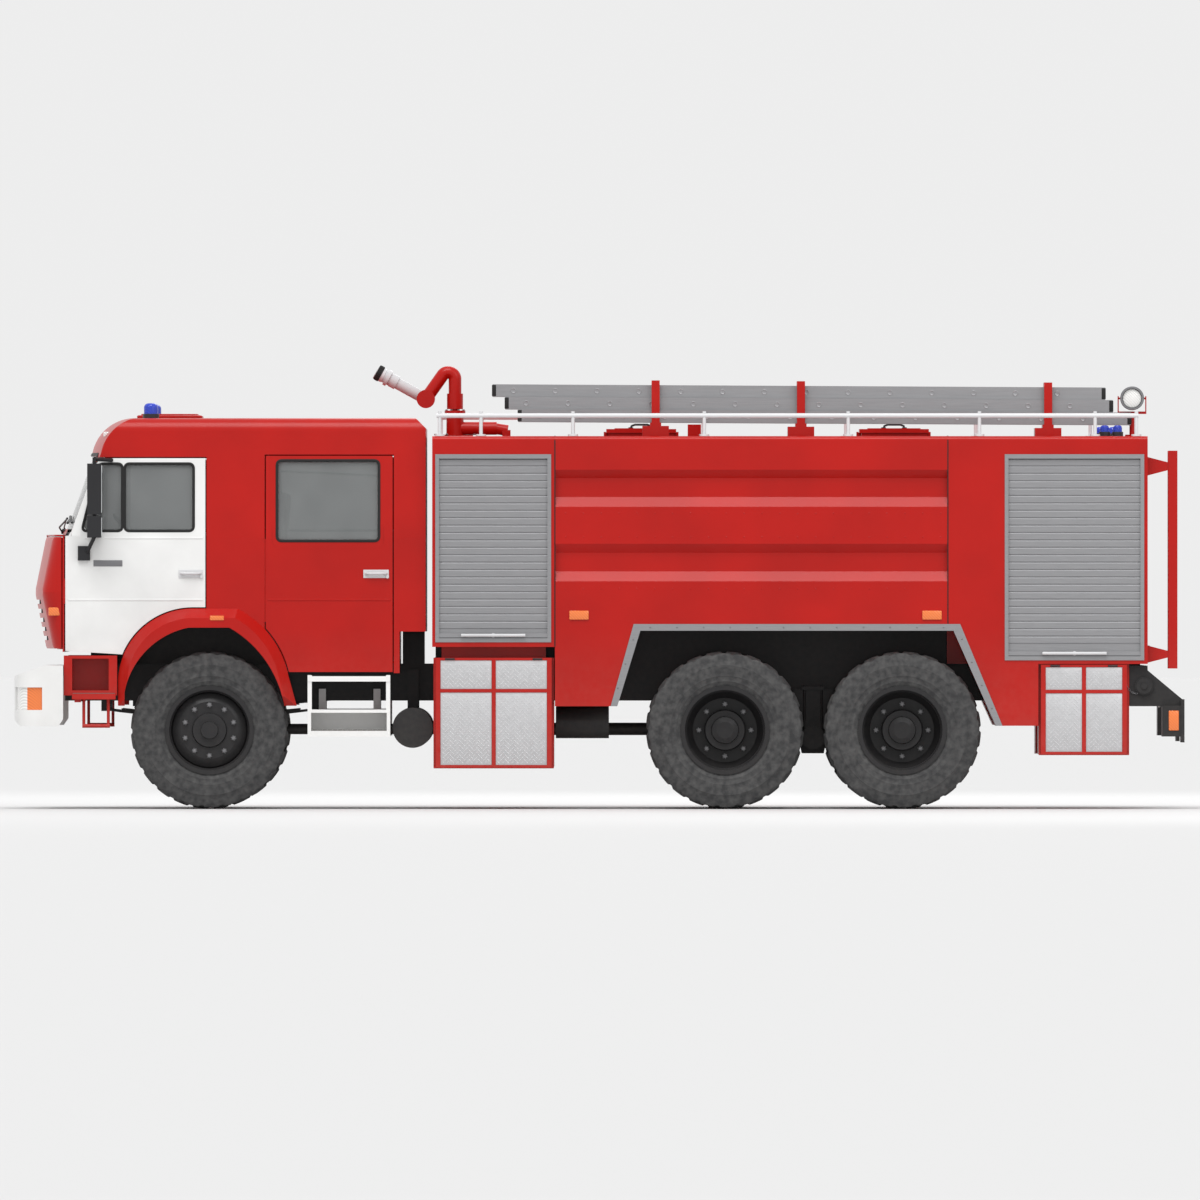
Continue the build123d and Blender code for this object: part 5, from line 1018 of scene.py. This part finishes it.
finish_nodes(red_enamel, "cannon_base", "cannon_arm")
barrel_paint = enamel("barrel_paint", (0.60, 0.60, 0.61), 0.1, 0.35)
finish_nodes(barrel_paint, "cannon_barrel")
barrel_foot = Vector((-1.241, 0.108, 2.945))
barrel_tip = Vector((-1.599, 0.108, 3.143))
barrel_aim = (barrel_tip - barrel_foot).normalized()
reach = (barrel_tip - barrel_foot).length
nozzle_outline = [(reach - 0.045, 0.051), (reach - 0.043, 0.056), (reach - 0.008, 0.056),
                  (reach - 0.004, 0.053), (reach - 0.004, 0.0362), (reach - 0.012, 0.0362)]
nozzle_ribs = 24
rib_out = 0.0562
nozzle_ring = bmesh.new()
add_turned(nozzle_ring, nozzle_outline, barrel_foot, barrel_aim, 40)
side_way = barrel_aim.orthogonal().normalized()
for rib in range(nozzle_ribs):
    turn = 2 * pi * rib / nozzle_ribs
    out = side_way * cos(turn) + barrel_aim.cross(side_way) * sin(turn)
    ends = [barrel_foot + barrel_aim * (reach - back) + out * rib_out for back in (0.040, 0.012)]
    add_tube(nozzle_ring, ends, 0.0022, out, facets=6)
place_piece("nozzle_ring", nozzle_ring, "cannon_barrel", "dash_plastic", seal_rubber)
cannon_x = -1.031
upper_bolt = [(-0.001, 0.0085), (0.007, 0.0085), (0.008, 0.007), (0.008, 0)]
lower_bolt = [(-0.001, 0.010), (0.008, 0.010), (0.009, 0.008), (0.009, 0)]
flange_bolts = bmesh.new()
for bolt in range(8):
    turn = 2 * pi * (bolt + 0.5) / 8
    upper_place = (cannon_x + 0.0665 * cos(turn), 0.0665 * sin(turn), 2.862)
    add_turned(flange_bolts, upper_bolt, upper_place, (0, 0, 1), 6)
    if bolt % 2:
        lower_place = (cannon_x + 0.152 * cos(turn), 0.152 * sin(turn), 2.686)
        add_turned(flange_bolts, lower_bolt, lower_place, (0, 0, 1), 6)
place_piece("cannon_flange_bolts", flange_bolts, "root", "cast_grey", bare_steel)

# Searchlight: a spun black shell with a bright rim and a ribbed glass, pivoted in a
# yoke at the left rear corner of the roof.

finish_nodes(lamp_paint, "searchlight")
lamp_centre = Vector((3.828, -0.950, 2.944))
glass_outline = [(0.0605, 0.0655), (0.064, 0.0655), (0.068, 0.050), (0.071, 0.025), (0.072, 0)]
rim_outline = [(0.062, 0.0842), (0.066, 0.0858), (0.078, 0.0858), (0.0815, 0.082), (0.0815, 0.071),
               (0.078, 0.0695)]
lamp_glass = bmesh.new()
add_turned(lamp_glass, glass_outline, lamp_centre, (0, -1, 0))
place_piece("searchlight_glass", lamp_glass, "searchlight", "lamp_glass", lamp_white)
lamp_rim = bmesh.new()
add_turned(lamp_rim, rim_outline, lamp_centre, (0, -1, 0))
place_piece("searchlight_rim", lamp_rim, "searchlight", "lamp_black", bare_steel)

# Rear ladder: flat steel stiles on cranked brackets, with round rungs under ribbed
# rubber sleeves, left of the pump shutter.

finish_nodes(red_enamel, "rear_ladder")
sleeve_outline = [(0.020, 0.0150)]
for rib in range(16):
    start = 0.022 + rib * 0.021
    sleeve_outline += [(start, 0.0165), (start + 0.004, 0.0182), (start + 0.014, 0.0182),
                       (start + 0.018, 0.0165)]
sleeve_outline.append((0.360, 0.0150))
sleeves = bmesh.new()
for rung in range(5):
    add_turned(sleeves, sleeve_outline, (4.119, -1.120, 1.120 + rung * rung_pitch), (0, 1, 0), 20)
place_piece("rung_sleeves", sleeves, "root", "dash_plastic", seal_rubber)

# Rear bracket: gusseted black steel arms with a lamp box on each, a cross beam with a
# blank plate, and a capped outlet on each side whose cap hangs on a short chain.

finish_nodes(chassis_paint, "rear_bumper")
rear_lamps = (
    ("turn", lamp_orange, 1.092, 1.216),
    ("brake", lamp_red, 0.956, 1.086),
    ("reverse", lamp_white, 0.820, 0.950),
)
chain_links = 11
chain_start = Vector((3.911, 1.2015, 0.815))
chain_run = 0.135
chain_rise = 0.028
chain_sag = 0.062
link_long = 0.0105
link_wide = 0.0055
for side, outward in sides:
    for name, finish, low_y, high_y in rear_lamps:
        lens = bmesh.new()
        add_slab(lens, (4.1885, 4.1985), (outward * low_y, outward * high_y), (0.540, 0.725), 0.004)
        place_piece(f"rear_{name}_lens_{side}", lens, "root", "lamp_glass", finish)
    marker = bmesh.new()
    add_slab(marker, (4.087, 4.159), (outward * 1.232, outward * 1.243), (0.563, 0.706), 0.006)
    place_piece("rear_side_marker_" + side, marker, "root", "lamp_glass", lamp_orange)
    chain = bmesh.new()
    for link in range(chain_links):
        share = (link + 0.5) / chain_links
        hang = Vector((chain_start.x - chain_run * share, outward * chain_start.y,
                       chain_start.z + chain_sag * (2 * share - 1) ** 2 + chain_rise * share))
        along = Vector((-chain_run, 0, 4 * chain_sag * (2 * share - 1) + chain_rise)).normalized()
        across = Vector((0, 1, 0)) if link % 2 else along.cross(Vector((0, 1, 0)))
        turns = [2 * pi * step / 12 for step in range(12)]
        loop = [hang + along * link_long * cos(turn) + across * link_wide * sin(turn) for turn in turns]
        add_tube(chain, loop, 0.0016, along.cross(across), closed=True, facets=6)
    place_piece("outlet_cap_chain_" + side, chain, "root", "cast_grey", bare_steel)
blank_plate = bmesh.new()
add_slab(blank_plate, (4.036, 4.040), (-0.27, 0.27), (0.726, 0.834), 0.0015)
place_piece("blank_rear_plate", blank_plate, "root", "white_paint", white_enamel)
